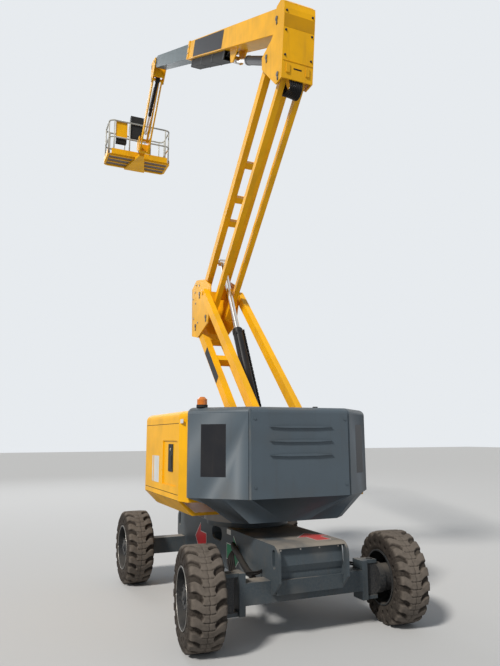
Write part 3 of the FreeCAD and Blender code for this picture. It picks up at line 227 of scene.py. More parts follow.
def finish(slot, colour, roughness, dust=0.25, streaks=0.2, mud=0.3, metal=0.0, coat=0.0, relief=0.0004,
           gloss=0.3):
    """A finish: base colour under the shared weather, with a slight relief of its grain. The CAD
    nodes of the slot that it is named after take it at once."""
    made, shader = new_material(slot)
    tree = made.node_tree
    worn, bump = weathered(tree, colour, roughness, dust, streaks, mud), tree.nodes.new("ShaderNodeBump")
    shader.inputs["Metallic"].default_value = metal
    shader.inputs["Coat Weight"].default_value = coat
    shader.inputs["Specular IOR Level"].default_value = gloss
    bump.inputs["Distance"].default_value = relief
    bump.inputs["Strength"].default_value = 0.6
    join_sockets(tree, (worn.outputs["Color"], shader.inputs["Base Color"]),
                 (worn.outputs["Roughness"], shader.inputs["Roughness"]),
                 (worn.outputs["Height"], bump.inputs["Height"]), (bump.outputs[0], shader.inputs["Normal"]))
    look[slot] = made
    for shown in node.values():
        if shown.data.materials[0].name.split(".")[0] == slot:
            shown.data.materials.clear()
            shown.data.materials.append(made)


# Tyres
# Four solid rubber tyres with two rows of S-shaped lugs that interlock in the middle, dusty on
# the tread, black in the grooves. Each is one skin swept round the wheel: its lugs and the dents
# of its sidewalls are steps in that skin's radius and width.
def laid(points, origin=(0, 0, 0), pitch=0.0, yaw=0.0):
    """Places of (along, across, above) points in a frame at an origin, pitched nose up, then
    yawed to the left: x' = x cos p - z sin p, z' = x sin p + z cos p, then the same in plan."""
    x, y, z = np.asarray(points, float).T
    ahead, above = x * cos(pitch) - z * sin(pitch), x * sin(pitch) + z * cos(pitch)
    return np.stack([ahead * cos(yaw) - y * sin(yaw), ahead * sin(yaw) + y * cos(yaw), above], 1) + origin


def joined(parts):
    """One list of points and one of faces from several pairs of them."""
    points, faces, count = [], [], 0
    for some, some_faces in parts:
        points.append(np.asarray(some, float))
        faces += [tuple(index + count for index in face) for face in some_faces]
        count += len(some)
    return np.concatenate(points), faces


def show(name, parts, slot, body, smooth=False, bevel=0.0, **frame_at):
    """One object from pairs of points and faces, laid in a frame and riding on a body."""
    points, faces = joined(parts)
    mesh = bpy.data.meshes.new(name)
    mesh.from_pydata(laid(points, **frame_at).tolist(), [], faces)
    mesh.materials.append(look[slot])
    mesh.polygons.foreach_set("use_smooth", [smooth] * len(mesh.polygons))
    mesh.validate()
    made = bpy.data.objects.new(name, mesh)
    bpy.context.scene.collection.objects.link(made)
    if bevel:
        rounded = made.modifiers.new("edges", "BEVEL")
        rounded.width, rounded.segments, rounded.limit_method = bevel, 2, "ANGLE"
    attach(made, body)
    return made


def grid_faces(rows, columns):
    """Quads of a grid whose columns close on themselves: each joins a place, the next one in its
    row, and the same two in the next row."""
    row, column = np.divmod(np.arange((rows - 1) * columns), columns)
    after = (column + 1) % columns
    return np.column_stack([row * columns + column, row * columns + after,
                            (row + 1) * columns + after, (row + 1) * columns + column]).tolist()


def step(values, low, high):
    """0 below one value, 1 above the other, 3t^2 - 2t^3 between."""
    t = np.clip((values - low) / (high - low), 0, 1)
    return t * t * (3 - 2 * t)


finish("tyre_rubber", (0.024, 0.019, 0.016), 0.85, dust=0.25, streaks=0.0, mud=0.12, relief=0.0012, gloss=0.15)
tyre_radius, tyre_half, lug_count = 0.44, 0.17, 20
axle_x, track_half, kingpin_arm, rear_lock = 1.33, 1.02, 0.26, radians(-6.7)
wheel_at = {}
for side, name in ((1, "left"), (-1, "right")):
    wheel_at[f"front_{name}"] = ((axle_x, side * track_half, tyre_radius), 0.0, side)
    steered = (-axle_x - side * kingpin_arm * sin(rear_lock),
               side * (track_half - kingpin_arm + kingpin_arm * cos(rear_lock)), tyre_radius)
    wheel_at[f"rear_{name}"] = (steered, rear_lock, side)
# Half of the section from the bead over the sidewall to the tread's middle, as across and radius.
key_half = [(0.148, 0.264), (0.160, 0.285), (0.1625, 0.305), (0.1635, 0.340), (0.162, 0.366), (0.158, 0.384),
            (0.150, 0.397), (0.139, 0.404), (0.12, 0.4075), (0.08, 0.409), (0.04, 0.4095), (0.0, 0.41)]
key = np.array(key_half + [(-y, r) for y, r in key_half[-2::-1]])
length = np.concatenate([[0], np.cumsum(np.hypot(*np.diff(key, axis=0).T))])
rows, columns = 92, lug_count * 26
station = np.linspace(0, length[-1], rows)
across, radius = np.interp(station, length, key[:, 0]), np.interp(station, length, key[:, 1])
# The skin's two parameters are the place along that section and the turn T about the axle; its
# points are (R cos T, Y, R sin T), and the pattern below changes R and Y.
turn = np.arange(columns) * tau / columns
Y, T = np.meshgrid(across, turn, indexing="ij")
R = np.meshgrid(radius, turn, indexing="ij")[0]
outward = np.abs(Y) / tyre_half
lug_lean, lug_height, hole_ring, hole_depth = 0.052, 0.0302, 0.326, 0.026
# A lug's middle line is level across the tyre's middle and rises in an S towards its shoulder.
lean = lug_lean * step(outward, 0.16, 0.72)
pitch_length = tau * tyre_radius / lug_count
breadth = 0.0300 + 0.0080 * step(outward, 0.28, 0.42) - 0.003 * step(outward, 0.75, 1.0)
lug = np.zeros_like(Y)
for side, start in ((1, 0.0), (-1, 0.5)):
    # The lugs of each side reach past the middle, in between those of the other side.
    phase = (T * tyre_radius + lean) / pitch_length - start
    gap = np.abs(phase - np.round(phase)) * pitch_length
    reach = side * Y / tyre_half + gap * 2.2
    lug = np.maximum(lug, (1 - step(gap, breadth, breadth + 0.006)) * step(reach, -0.32, -0.27))
lug *= step(R, 0.345, 0.372)
# A wavy mould seam crosses the lugs in the middle; blind holes ring the sidewalls.
seam = 1 - step(np.abs(Y + 0.004 * np.sin(T * lug_count * 2)), 0.002, 0.006)
dents = np.abs((T * lug_count / tau) % 1 - 0.5) * pitch_length * hole_ring / tyre_radius
dent = 1 - step(np.hypot(dents, R - hole_ring), 0.0165, 0.021)
dent *= step(outward, 0.9, 0.93) * (R < 0.36)
R = R + lug * (lug_height * step(R, 0.380, 0.402) * (1 - 0.22 * step(outward, 0.8, 0.95)) - 0.004 * seam)
Y = Y + np.sign(Y) * (lug * 0.0075 * step(outward, 0.86, 0.94) - dent * hole_depth)
tyre_points = np.stack([R * np.cos(T), Y, R * np.sin(T)], 2).reshape(-1, 3)
tyre_faces = grid_faces(rows, columns)
# Positive on the worn tops of the lugs, where road dust lies; negative in the sidewall holes, which are painted near
# black as painted shade.
lug_wear_and_hole_shade = (lug * (1 - 0.7 * seam) * step(R, 0.40, 0.432) - dent).ravel()
for name, (centre, lock, _) in wheel_at.items():
    tyre = show(f"tyre_skin_{name}", [(tyre_points, tyre_faces)], "tyre_rubber", f"wheel_{name}", smooth=True,
                origin=centre, yaw=lock)
    tyre.data.attributes.new("lug_wear_and_hole_shade", "FLOAT", "POINT").data.foreach_set("value", lug_wear_and_hole_shade)
    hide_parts(f"tyre_{name}")
# Road dust lies on the worn tops of the lugs; the grooves stay dark, and the sidewall holes are painted near black as
# painted shade.
tyre_tree = look["tyre_rubber"].node_tree
worn_top_and_hole_shade = tyre_tree.nodes.new("ShaderNodeAttribute")
worn_top_and_hole_shade.attribute_name = "lug_wear_and_hole_shade"
tyre_place = tyre_tree.nodes.new("ShaderNodeTexCoord").outputs["Object"]
scuff = range_node(tyre_tree, noise_node(tyre_tree, tyre_place, 24, 6), 0.25, 0.7)
scuffed = math_node(tyre_tree, "ADD", 0.55, math_node(tyre_tree, "MULTIPLY", scuff, 0.35))
top_share = math_node(tyre_tree, "MULTIPLY", worn_top_and_hole_shade.outputs["Fac"], scuffed, clamp=True)
# Painted shade: the sidewall holes are darkened towards near black.
hole_shade_share = math_node(tyre_tree, "MULTIPLY", worn_top_and_hole_shade.outputs["Fac"], -0.9, clamp=True)
tyre_worn = next(item for item in tyre_tree.nodes if item.type == "GROUP")
tyre_shader = next(item for item in tyre_tree.nodes if item.type == "BSDF_PRINCIPLED")
dusty_top = mix_node(tyre_tree, top_share, tyre_worn.outputs["Color"], (0.135, 0.115, 0.098, 1))
join_sockets(tyre_tree, (mix_node(tyre_tree, hole_shade_share, dusty_top, (0.006, 0.005, 0.005, 1)),
                         tyre_shader.inputs["Base Color"]))


# Hubs
# Steel trim on the dished rims: ten wheel nuts, the ring of screws and the cap of the final
# drive, and a split wire ring that lies against the rolled edge of the rim.
def prism(corners, plane, low, high):
    """A polygon in a plane across X, Y or Z, thick between two places along that axis: its corners
    at the lower place, then at the higher, turned so that every face points outwards."""
    corners = np.asarray(corners, float)
    a, b = corners.T
    if np.sum(a * np.roll(b, -1) - b * np.roll(a, -1)) < 0:
        corners = corners[::-1]
    count = len(corners)
    stacked = np.column_stack([np.tile(corners, (2, 1)), np.repeat(sorted((low, high)), count)])
    faces = [tuple(range(count))[::-1], tuple(range(count, 2 * count))]
    faces += [(i, (i + 1) % count, count + (i + 1) % count, count + i) for i in range(count)]
    order = {"X": [2, 0, 1], "Y": [0, 2, 1], "Z": [0, 1, 2]}[plane]
    return stacked[:, order], [face[::-1] for face in faces] if plane == "Y" else faces


def round_corners(radius, sides, centre=(0, 0), start=0.0):
    """Corners of a regular polygon: its centre plus radius times (cos, sin) of equal turns."""
    angle = start + tau * np.arange(sides) / sides
    return np.column_stack([centre[0] + radius * np.cos(angle), centre[1] + radius * np.sin(angle)])


def nuts(places, plane, low, high, radius=0.011):
    """Hexagonal heads at places in a plane, each over a round washer a quarter as high."""
    parts = []
    for centre in places:
        parts.append(prism(round_corners(radius * 1.35, 16, centre), plane, low, low + (high - low) * 0.25))
        parts.append(prism(round_corners(radius, 6, centre), plane, low, high))
    return parts


def hose(points, radius=0.011, sides=10):
    """A round tube along a run of points: each ring is its point plus radius times (across cos a +
    upward sin a), where across lies level and square to the run, and upward square to both."""
    run = np.asarray(points, float)
    run = run[np.concatenate([[True], np.linalg.norm(np.diff(run, axis=0), axis=1) > 1e-5])]
    heading = np.gradient(run, axis=0)
    heading /= np.linalg.norm(heading, axis=1)[:, None]
    across = np.cross(heading, (0.013, 0.021, 1.0))
    across /= np.linalg.norm(across, axis=1)[:, None]
    upward = np.cross(across, heading)
    angle = (np.arange(sides) * tau / sides)[:, None]
    rings = run[:, None] + radius * (across[:, None] * np.cos(angle) + upward[:, None] * np.sin(angle))
    faces = [face[::-1] for face in grid_faces(len(run), sides)]
    ends = [tuple(range(sides)), tuple((len(run) - 1) * sides + i for i in range(sides))[::-1]]
    return rings.reshape(-1, 3), faces + ends


finish("rim_dark", (0.016, 0.019, 0.023), 0.5, dust=0.3, streaks=0.1, mud=0.12)
finish("screw_zinc", (0.45, 0.43, 0.40), 0.35, dust=0.3, streaks=0.1, mud=0.2, metal=0.9, relief=0.0)
dish_y, drive_y = 0.048, 0.128
for name, (centre, lock, side) in wheel_at.items():
    trim = nuts(round_corners(0.192, 10), "Y", side * dish_y, side * (dish_y + 0.026), radius=0.014)
    trim += nuts(round_corners(0.100, 12, start=0.2), "Y", side * drive_y, side * (drive_y + 0.009), radius=0.0075)
    trim.append(prism(round_corners(0.055, 32), "Y", side * drive_y, side * (drive_y + 0.014)))
    trim.append(prism(round_corners(0.022, 6), "Y", side * (drive_y + 0.013), side * (drive_y + 0.022)))
    show(f"hub_trim_{name}", trim, "rim_dark", f"wheel_{name}", bevel=0.0012, origin=centre, yaw=lock)
    wire = np.insert(round_corners(0.2615, 73), 1, side * 0.1575, axis=1)
    show(f"rim_wire_{name}", [hose(wire, 0.0030, 6)], "screw_zinc", f"wheel_{name}", smooth=True, origin=centre,
         yaw=lock)


# Chassis
# Painted travel arrows, blank labels, screws and slots of the end panels, and hydraulic
# hoses that come out through the left side plate and run down to the steered axle.
def curved(points, bits=8):
    """A smooth run through points, by Catmull-Rom cubics: between b and c, with a before and d
    after, half of 2b + (c - a) t + (2a - 5b + 4c - d) t^2 + (3b - a - 3c + d) t^3."""
    p = np.array([points[0], *points, points[-1]], float)
    t = np.linspace(0, 1, bits, endpoint=False)[:, None]
    runs = [0.5 * (2 * b + (c - a) * t + (2 * a - 5 * b + 4 * c - d) * t ** 2 + (3 * b - a - 3 * c + d) * t ** 3)
            for a, b, c, d in zip(p, p[1:], p[2:], p[3:])]
    return np.concatenate([*runs, p[-1:]])


finish("chassis_grey", (0.045, 0.060, 0.072), 0.45, dust=0.75, mud=0.08, streaks=0.2, gloss=0.22)
finish("ring_steel", (0.16, 0.15, 0.14), 0.42, dust=0.5, metal=0.8)
finish("label_white", (0.60, 0.61, 0.60), 0.4, dust=0.25, streaks=0.1, mud=0.1, relief=0.0)
finish("arrow_red", (0.55, 0.018, 0.025), 0.45, dust=0.2, streaks=0.1, mud=0.05, relief=0.0)
finish("arrow_green", (0.005, 0.19, 0.085), 0.45, dust=0.2, streaks=0.1, mud=0.05, relief=0.0)
finish("hose_black", (0.012, 0.012, 0.013), 0.6, dust=0.08, streaks=0.0, mud=0.06, relief=0.0, gloss=0.12)
# hole_black is painted shade: the near-black laid in slots, seams and creases where shade falls in them.
finish("hole_black", (0.004, 0.004, 0.004), 0.9, dust=0.0, streaks=0.0, mud=0.0, relief=0.0)


def arrow(tail, tip, half_shaft, half_head, head):
    """The seven corners of an arrow that runs along a plane's first coordinate."""
    (x0, y), x1 = tail, tip
    neck = x1 - (head if x1 > x0 else -head)
    return [(x0, y - half_shaft), (neck, y - half_shaft), (neck, y - half_head), (x1, y), (neck, y + half_head),
            (neck, y + half_shaft), (x0, y + half_shaft)]


def rectangle(x0, x1, y0, y1):
    """Four corners between two values along and two above."""
    return [(x0, y0), (x1, y0), (x1, y1), (x0, y1)]


def painted_arrow(name, slot, tail, tip, plane, low, high):
    """A coloured arrow on a pale one that shows as its border."""
    forward = 1 if tip > tail[0] else -1
    half_shaft, half_head, head, rim = 0.076, 0.168, 0.19, 0.008
    pale = arrow((tail[0] - forward * rim, tail[1]), tip + forward * 1.8 * rim, half_shaft + rim,
                 half_head + 2 * rim, head + 2 * rim)
    show(f"{name}_border", [prism(pale, plane, low, low + (high - low) * 0.6)], "label_white", "chassis")
    show(name, [prism(arrow(tail, tip, half_shaft, half_head, head), plane, low, high)], slot, "chassis")


# Paint and labels start a little inside the plate that carries them and stand proud by a skin.
plate_y, deck_z, sunk, skin = 0.370, 0.850, 0.0005, 0.0012
for side in (1, -1):
    outer = (side * (plate_y - sunk), side * (plate_y + skin))
    painted_arrow(f"arrow_side_red_{side}", "arrow_red", (0.385, 0.612), 0.785, "Y", *outer)
    painted_arrow(f"arrow_side_green_{side}", "arrow_green", (-0.30, 0.610), -0.685, "Y", *outer)
    show(f"side_labels_{side}", [prism(rectangle(*spot), "Y", *outer) for spot in (
        (-0.415, -0.30, 0.786, 0.838), (-0.95, -0.79, 0.432, 0.462))], "label_white", "chassis")
painted_arrow("arrow_deck", "arrow_red", (-1.395, -0.205), -1.0, "Z", deck_z - sunk, deck_z + skin)
panel_x = 1.487
for end in (1, -1):
    face = (end * (panel_x - 0.001), end * (panel_x + 0.006))
    show(f"panel_screws_{end}", nuts([(y, 0.803) for y in (-0.305, -0.1, 0.1, 0.305)], "X", *face, radius=0.008),
         "screw_zinc", "chassis")
    # The slots are filled with near-black strips of painted shade.
    slots = [prism(rectangle(y - 0.008, y + 0.008, z - 0.022, z + 0.022), "X", *face)
             for y, z in ((0.15, 0.722), (-0.15, 0.722))]
    slots.append(prism(rectangle(-0.34, 0.34, 0.774, 0.781), "X", *face))
    show(f"panel_slots_{end}", slots, "hole_black", "chassis")
show("panel_label", [prism(rectangle(-0.338, -0.30, low, low + 0.040), "X", -panel_x - 0.004, -panel_x + 0.001)
                     for low in (0.655, 0.702)], "label_white", "chassis")
sleeve = curved([(-0.45, 0.33, 0.70), (-0.50, 0.372, 0.700), (-0.61, 0.40, 0.679), (-0.79, 0.43, 0.644),
                 (-0.91, 0.44, 0.600), (-1.045, 0.45, 0.562), (-1.15, 0.455, 0.545), (-1.25, 0.46, 0.50)])
loops = [hose(sleeve, 0.031, 16)]
loops += [hose(curved([(-0.46 - 0.02 * i, 0.33, 0.67), (-0.53, 0.385 + 0.01 * i, 0.655 - 0.01 * i),
                       (-0.64, 0.43 + 0.02 * i, 0.605 - 0.01 * i), (-0.84, 0.50 + 0.02 * i, 0.565),
                       (-1.06, 0.58 + 0.015 * i, 0.545), (-1.22, 0.62 + 0.01 * i, 0.53)]), 0.011) for i in range(4)]
loops += [hose(curved([(-1.19, side * (0.30 + 0.02 * i), 0.60), (-1.235, side * 0.42, 0.565 + 0.018 * i),
                       (-1.25, side * 0.56, 0.57 + 0.018 * i), (-1.25, side * 0.66, 0.55 + 0.02 * i)]), 0.009)
          for side in (1, -1) for i in range(2)]
show("chassis_hoses", loops, "hose_black", "chassis", smooth=True)


# Turret
# Two side pods under moulded hoods, each with a latch in its recess, creases and a seam along its
# outer face drawn as lines of painted shade, and blank labels; steel trays below them; a ballast
# casting with a blank banner.
finish("hood_yellow", (0.82, 0.41, 0.003), 0.42, dust=0.0, streaks=0.04, mud=0.0, gloss=0.12)
finish("ballast_grey", (0.070, 0.092, 0.112), 0.46, dust=0.2, streaks=0.12, mud=0.04, gloss=0.25)
finish("engine_grey", (0.10, 0.10, 0.105), 0.5, metal=0.6)
finish("beacon_orange", (0.62, 0.17, 0.008), 0.25, dust=0.1, streaks=0.0, mud=0.0, coat=0.3)
finish("control_black", (0.018, 0.018, 0.018), 0.6, dust=0.15, streaks=0.1, mud=0.0, gloss=0.18)
finish("banner_black", (0.014, 0.015, 0.019), 0.42, dust=0.12, streaks=0.15, mud=0.0, relief=0.0, gloss=0.15)
pod_y, label_skin, line_skin = 1.055, 0.0015, 0.0004
crease_x0, crease_x1, crease_half, seam_shade_z = -0.70, 0.66, 0.003, 1.1975
for side, name in ((1, "left"), (-1, "right")):
    body = f"hood_{name}"
    label = (side * (pod_y - sunk), side * (pod_y + label_skin))
    line = (side * (pod_y - sunk), side * (pod_y + line_skin))
    latch = prism(rectangle(-0.47, -0.30, 1.47, 1.755), "Y", side * (pod_y - 0.015), side * (pod_y - 0.006))
    paddle = prism(rectangle(-0.44, -0.33, 1.50, 1.64), "Y", side * (pod_y - 0.007), side * (pod_y - 0.001))
    show(f"hood_latch_{name}", [latch, paddle], "control_black", body, bevel=0.004)
    key_hole = nuts([(-0.385, 1.70)], "Y", side * (pod_y - 0.007), side * (pod_y - 0.002), 0.012)
    show(f"hood_key_{name}", key_hole, "screw_zinc", body)
    show(f"hood_labels_{name}", [prism(rectangle(*spot), "Y", *label) for spot in (
        (0.05, 0.27, 1.33, 1.62), (-0.86, -0.76, 1.965, 2.005), (0.31, 0.35, 1.33, 1.62))], "label_white", body)
    # The creases and the seam below them are thin near-black strips of painted shade on the hood's face.
    creases = [prism(rectangle(crease_x0, crease_x1, level - crease_half, level + crease_half), "Y", *line)
               for level in (1.255, 1.965)]
    show(f"hood_creases_{name}", creases, "hole_black", body)
    seam_shade = prism(rectangle(crease_x0, crease_x1, seam_shade_z, seam_shade_z + 0.004), "Y", side * (pod_y - 0.02), line[1])
    show(f"hood_seam_shade_{name}", [seam_shade], "hole_black", body)

# The ballast is cast, so its mesh is softened along every edge; its flat faces stay where they are.
soft_mesh = node["counterweight"].data.copy()
soft_mesh.name = "ballast_soft"
loose = bmesh.new()
loose.from_mesh(soft_mesh)
bmesh.ops.remove_doubles(loose, verts=loose.verts, dist=1e-5)
bmesh.ops.dissolve_limit(loose, angle_limit=radians(1), verts=loose.verts, edges=loose.edges)
loose.to_mesh(soft_mesh)
loose.free()
ballast = bpy.data.objects.new("ballast_soft", soft_mesh)
bpy.context.scene.collection.objects.link(ballast)
rounding = ballast.modifiers.new("edges", "BEVEL")
rounding.width, rounding.segments, rounding.limit_method, rounding.angle_limit = 0.022, 4, "ANGLE", radians(24)
ballast.modifiers.new("shade", "WEIGHTED_NORMAL").weight = 90
soft_mesh.polygons.foreach_set("use_smooth", [True] * len(soft_mesh.polygons))
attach(ballast, "turret")
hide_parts("counterweight")
cheek_front, cheek_rear = np.array([-0.945, 1.025]), np.array([-1.37, 0.55])
run = (cheek_rear - cheek_front) / np.hypot(*(cheek_rear - cheek_front))
outward = np.array([-run[1], run[0]])
banner = [cheek_front + run * along + outward * lift for along, lift in (
    (0.13, -sunk), (0.39, -sunk), (0.39, label_skin), (0.13, label_skin))]
for side in (1, -1):
    show(f"ballast_banner_{side}", [prism([(x, side * y) for x, y in banner], "Z", 1.45, 1.95)], "banner_black",
         "turret")
show("ballast_cap", [prism(round_corners(0.028, 20, (-1.06, -0.335)), "Z", 2.114, 2.139)], "control_black", "turret",
     bevel=0.003)
show("ballast_plugs", nuts([(y, z) for y in (-0.50, 0.50) for z in (1.36, 2.00)], "X", -1.3695, -1.3775, 0.013),
     "ballast_grey", "turret")
beacon_low, beacon_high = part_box("beacon")
beacon_at = ((beacon_low.x + beacon_high.x) / 2, (beacon_low.y + beacon_high.y) / 2)
ribs = [prism(round_corners(0.0506, 40, beacon_at), "Z", level, level + 0.002)
        for level in np.linspace(beacon_low.z + 0.034, beacon_high.z - 0.032, 9)]
show("beacon_ribs", ribs, "beacon_orange", "turret")
show("beacon_foot", [prism(round_corners(0.0565, 40, beacon_at), "Z", beacon_low.z, beacon_low.z + 0.027)],
     "control_black", "turret")


# Arms
# Steel pins with keeper plates, screws of the knuckle's cover, a blank plate on the lower arm,
# hoses along the arms' right bars, and the cylinders' gland nuts, rings and feed pipes.
finish("lift_yellow", (0.86, 0.43, 0.004), 0.42, dust=0.04, streaks=0.12, mud=0.0, gloss=0.18)
finish("cylinder_black", (0.011, 0.011, 0.013), 0.42, dust=0.08, streaks=0.1, mud=0.05, gloss=0.18)
finish("rod_chrome", (0.72, 0.70, 0.68), 0.16, dust=0.05, streaks=0.1, mud=0.0, metal=1.0, relief=0.0)
# Pin lines from the turret up: the lower arm runs from foot to top, the upper arm from rise back to
# crown; the ties' upper and lower pins lie beside them, and the boom turns on its own pin.
arm_pitch, boom_pitch = pi / 4, radians(29.4)
lower_length, upper_length, lift_reach = 2.814, 3.220, 0.535
forward_up = np.array([cos(arm_pitch), 0, sin(arm_pitch)])
back_up = forward_up * (-1, 1, 1)
foot = np.array([-0.595, 0, 1.420])
top = foot + lower_length * forward_up
rise = top + (-0.168, 0, 0.440)
crown = rise + upper_length * back_up
tie_foot, tie_top = rise + (-0.280, 0, -0.390), crown + (-0.280, 0, -0.390)
boom_at = crown + (-0.280, 0, 0.293)
lift_eye, boom_eye = rise + lift_reach * back_up, crown + (1.370, 0, 0.903)


def pin_ends(name, body, places, low, reach=0.010, radius=0.026):
    """The pin ends of one body, on both sides: a disc, a keeper plate that hangs from it and the
    plate's screw."""
    parts = []
    for x, _, z in places:
        for side in (1, -1):
            near, far = side * (low - sunk), side * (low + reach)
            plate = near + (far - near) * 0.6
            parts.append(prism(round_corners(radius, 28, (x, z)), "Y", near, far))
            edge = z - radius
            parts.append(prism(rectangle(x - 0.016, x + 0.016, edge - 0.045, edge + 0.012), "Y", near, plate))
            parts += nuts([(x, edge - 0.03)], "Y", plate, far, 0.008)
    show(name, parts, "ring_steel", body, bevel=0.001)


def box(x0, x1, y0, y1, z0, z1):
    """A box between two corners."""
    return prism(rectangle(x0, x1, y0, y1), "Z", z0, z1)


def side_by_side(stations, spread, radius=0.009):
    """Hoses that run beside each other, through the same stations along and above."""
    return [hose(curved([(x, y, z) for x, z in stations]), radius) for y in spread]


pin_ends("knuckle_pins", "knuckle_housing", [top, rise, tie_foot], 0.212)
pin_ends("head_pins", "boom_head", [crown, tie_top, boom_at], 0.192)
pin_ends("turret_pins", "turret", [foot], 0.345)
cover_y = 0.2115
cover_screws = np.array([(0.005, 0.33), (0.035, 0.50), (-0.16, 0.56), (-0.28, 0.46), (-0.10, 0.03), (0.09, 0.12),
                         (-0.02, 0.60), (0.13, 0.42)]) + top[[0, 2]]
# The cover's seam is a thin near-black strip of painted shade.
cover_seam = np.array([(0.150, -0.125), (0.153, -0.125), (0.173, 0.575), (0.170, 0.575)]) + top[[0, 2]]
screws, seams = [], []
for side in (1, -1):
    screws += nuts(cover_screws, "Y", side * cover_y, side * (cover_y + 0.0105), 0.012)
    seams.append(prism(cover_seam, "Y", side * cover_y, side * (cover_y + 0.001)))
show("knuckle_screws", screws, "screw_zinc", "knuckle_housing", bevel=0.001)
show("knuckle_seams", seams, "hole_black", "knuckle_housing")

show("lower_arm_plate", [box(1.59, 2.23, side * 0.1895, side * 0.1912, -0.058, 0.062) for side in (1, -1)],
     "banner_black", "lower_arm", origin=foot, pitch=arm_pitch)
lower_hoses = side_by_side([(0.34, -0.083), (0.60, -0.081), (1.40, -0.083), (2.10, -0.081), (2.42, -0.083)],
                           (-0.170, -0.148, -0.126))
show("lower_arm_hoses", lower_hoses, "hose_black", "lower_arm", smooth=True, origin=foot, pitch=arm_pitch)
upper_hoses = side_by_side([(0.55, -0.073), (1.05, -0.071), (1.60, -0.073), (2.20, -0.071), (2.60, -0.073)],
                           (-0.152, -0.130, -0.108))
show("upper_arm_hoses", upper_hoses, "hose_black", "upper_arm", smooth=True, origin=rise, pitch=pi - arm_pitch)


def cylinder_trim(name, start, end, length, barrel, rod, pipe_side):
    """A barrel's gland nut and welded ring, its feed pipe and the rod's wiper ring, along the line
    from the barrel's eye to the rod's; gives the pitch of that line."""
    pitch = np.arctan2(end[2] - start[2], end[0] - start[0])

    def ring(radius, low, high):
        return prism(round_corners(radius, 36), "X", low, high)
    parts = [ring(barrel + 0.004, length - 0.075, length - 0.02), ring(barrel + 0.0025, 0.11, 0.14)]
    show(f"{name}_gland", parts, "cylinder_black", f"{name}_barrel", bevel=0.0015, origin=start, pitch=pitch)
    show(f"{name}_wiper", [ring(rod + 0.012, length - 0.001, length + 0.006)], "screw_zinc", f"{name}_barrel",
         origin=start, pitch=pitch)
    y = pipe_side * (barrel + 0.012)
    pipe = curved([(x, y * out, barrel * up) for x, out, up in (
        (0.17, 0.4, 0.75), (0.19, 0.75, 0.95), (0.25, 0.8, 0.85), (length * 0.5, 0.8, 0.85),
        (length - 0.16, 0.8, 0.85), (length - 0.11, 0.6, 0.85), (length - 0.10, 0.35, 0.8))])
    show(f"{name}_pipe", [hose(pipe, 0.006, 8)], "cylinder_black", f"{name}_barrel", smooth=True, origin=start,
         pitch=pitch)
    return pitch


lift_pitch = cylinder_trim("lift", foot, lift_eye, 1.990, 0.065, 0.036, 1)
cylinder_trim("boom_lift", crown, boom_eye, 1.180, 0.058, 0.032, -1)
# Beside the lift cylinder a chain of guard links carries hoses up between the arms.
link_start, link_step, link_length, link_count = 0.42, 0.052, 0.044, 30
chain = [box(x, x + link_length, -0.084, -0.070, -0.035, 0.035)
         for x in link_start + link_step * np.arange(link_count)]
show("guard_chain", chain, "hose_black", "lift_barrel", bevel=0.004, origin=foot, pitch=lift_pitch)


# Boom head
# A folded yellow cover behind the boom's pivot with an amber band of painted shade where the cover
# bends, its screws, lower tabs and a slot in painted shade, and hydraulic hoses that hang in a loop under it.
cover_top = np.array([-0.470, 0.300])
down_cover = np.array([-0.370, -0.480]) - cover_top
down_cover /= np.hypot(*down_cover)
off_cover = np.array([down_cover[1], -down_cover[0]])


def on_cover(distance, lift):
    """A place in the arms' plane, so far down the sloping rear cover and so far out from it."""
    return cover_top + down_cover * distance + off_cover * lift


def cover_strip(y0, y1, start, end, lift):
    """A flat strip on the rear cover."""
    corners = [on_cover(start, -sunk), on_cover(end, -sunk), on_cover(end, lift), on_cover(start, lift)]
    return prism(corners, "Y", y0, y1)


# band_amber is painted shade: a darker yellow laid on the facet where the cover's face bends away from the light.
finish("band_amber", (0.56, 0.27, 0.003), 0.45, dust=0.04, streaks=0.1, mud=0.0, relief=0.0, gloss=0.15)
show("head_facet_shade", [cover_strip(-0.185, 0.185, 0.065, 0.215, 0.0015)], "band_amber", "boom_head", origin=crown)
# The slot is a near-black strip of painted shade.
show("head_slot", [cover_strip(-0.05, 0.05, 0.655, 0.672, 0.001)], "hole_black", "boom_head", origin=crown)
tabs = [cover_strip(y - 0.022, y + 0.022, 0.62, 0.72, 0.012) for y in (-0.12, 0.12)]
tabs.append(cover_strip(-0.186, 0.186, 0.585, 0.592, 0.006))
show("head_tabs", tabs, "lift_yellow", "boom_head", bevel=0.002, origin=crown)
cover_tilt = np.arctan2(*-down_cover)
screws = []
for distance in (0.03, 0.25, 0.53):
    x, z = on_cover(distance, 0.0)
    points, faces = joined(nuts([(-0.16, 0.0), (0.16, 0.0)], "X", 0.0, -0.009))
    screws.append((laid(points, (x, 0, z), cover_tilt), faces))
show("head_screws", screws, "rim_dark", "boom_head", origin=crown)
lip = [(-0.472, 0.372), (-0.400, 0.4515), (-0.396, 0.4475), (-0.466, 0.369)]
show("head_lip", [prism(lip, "Y", -0.1915, 0.1915)], "lift_yellow", "boom_head", origin=crown)
head_hoses = []
for i, y in enumerate((-0.072, -0.048, -0.024, 0.0, 0.024, 0.048, 0.072)):
    head_hoses.append(hose(curved([
        (-0.30, y, -0.30), (-0.335, y, -0.44), (-0.34, y * 0.9, -0.56), (-0.25, y * 0.8, -0.62 + 0.012 * i),
        (-0.12, y * 0.75, -0.52), (-0.02, y * 0.7, -0.36), (0.02, y * 0.6, -0.22)]), 0.012))
show("head_hoses", head_hoses, "hose_black", "boom_head", smooth=True, origin=crown)


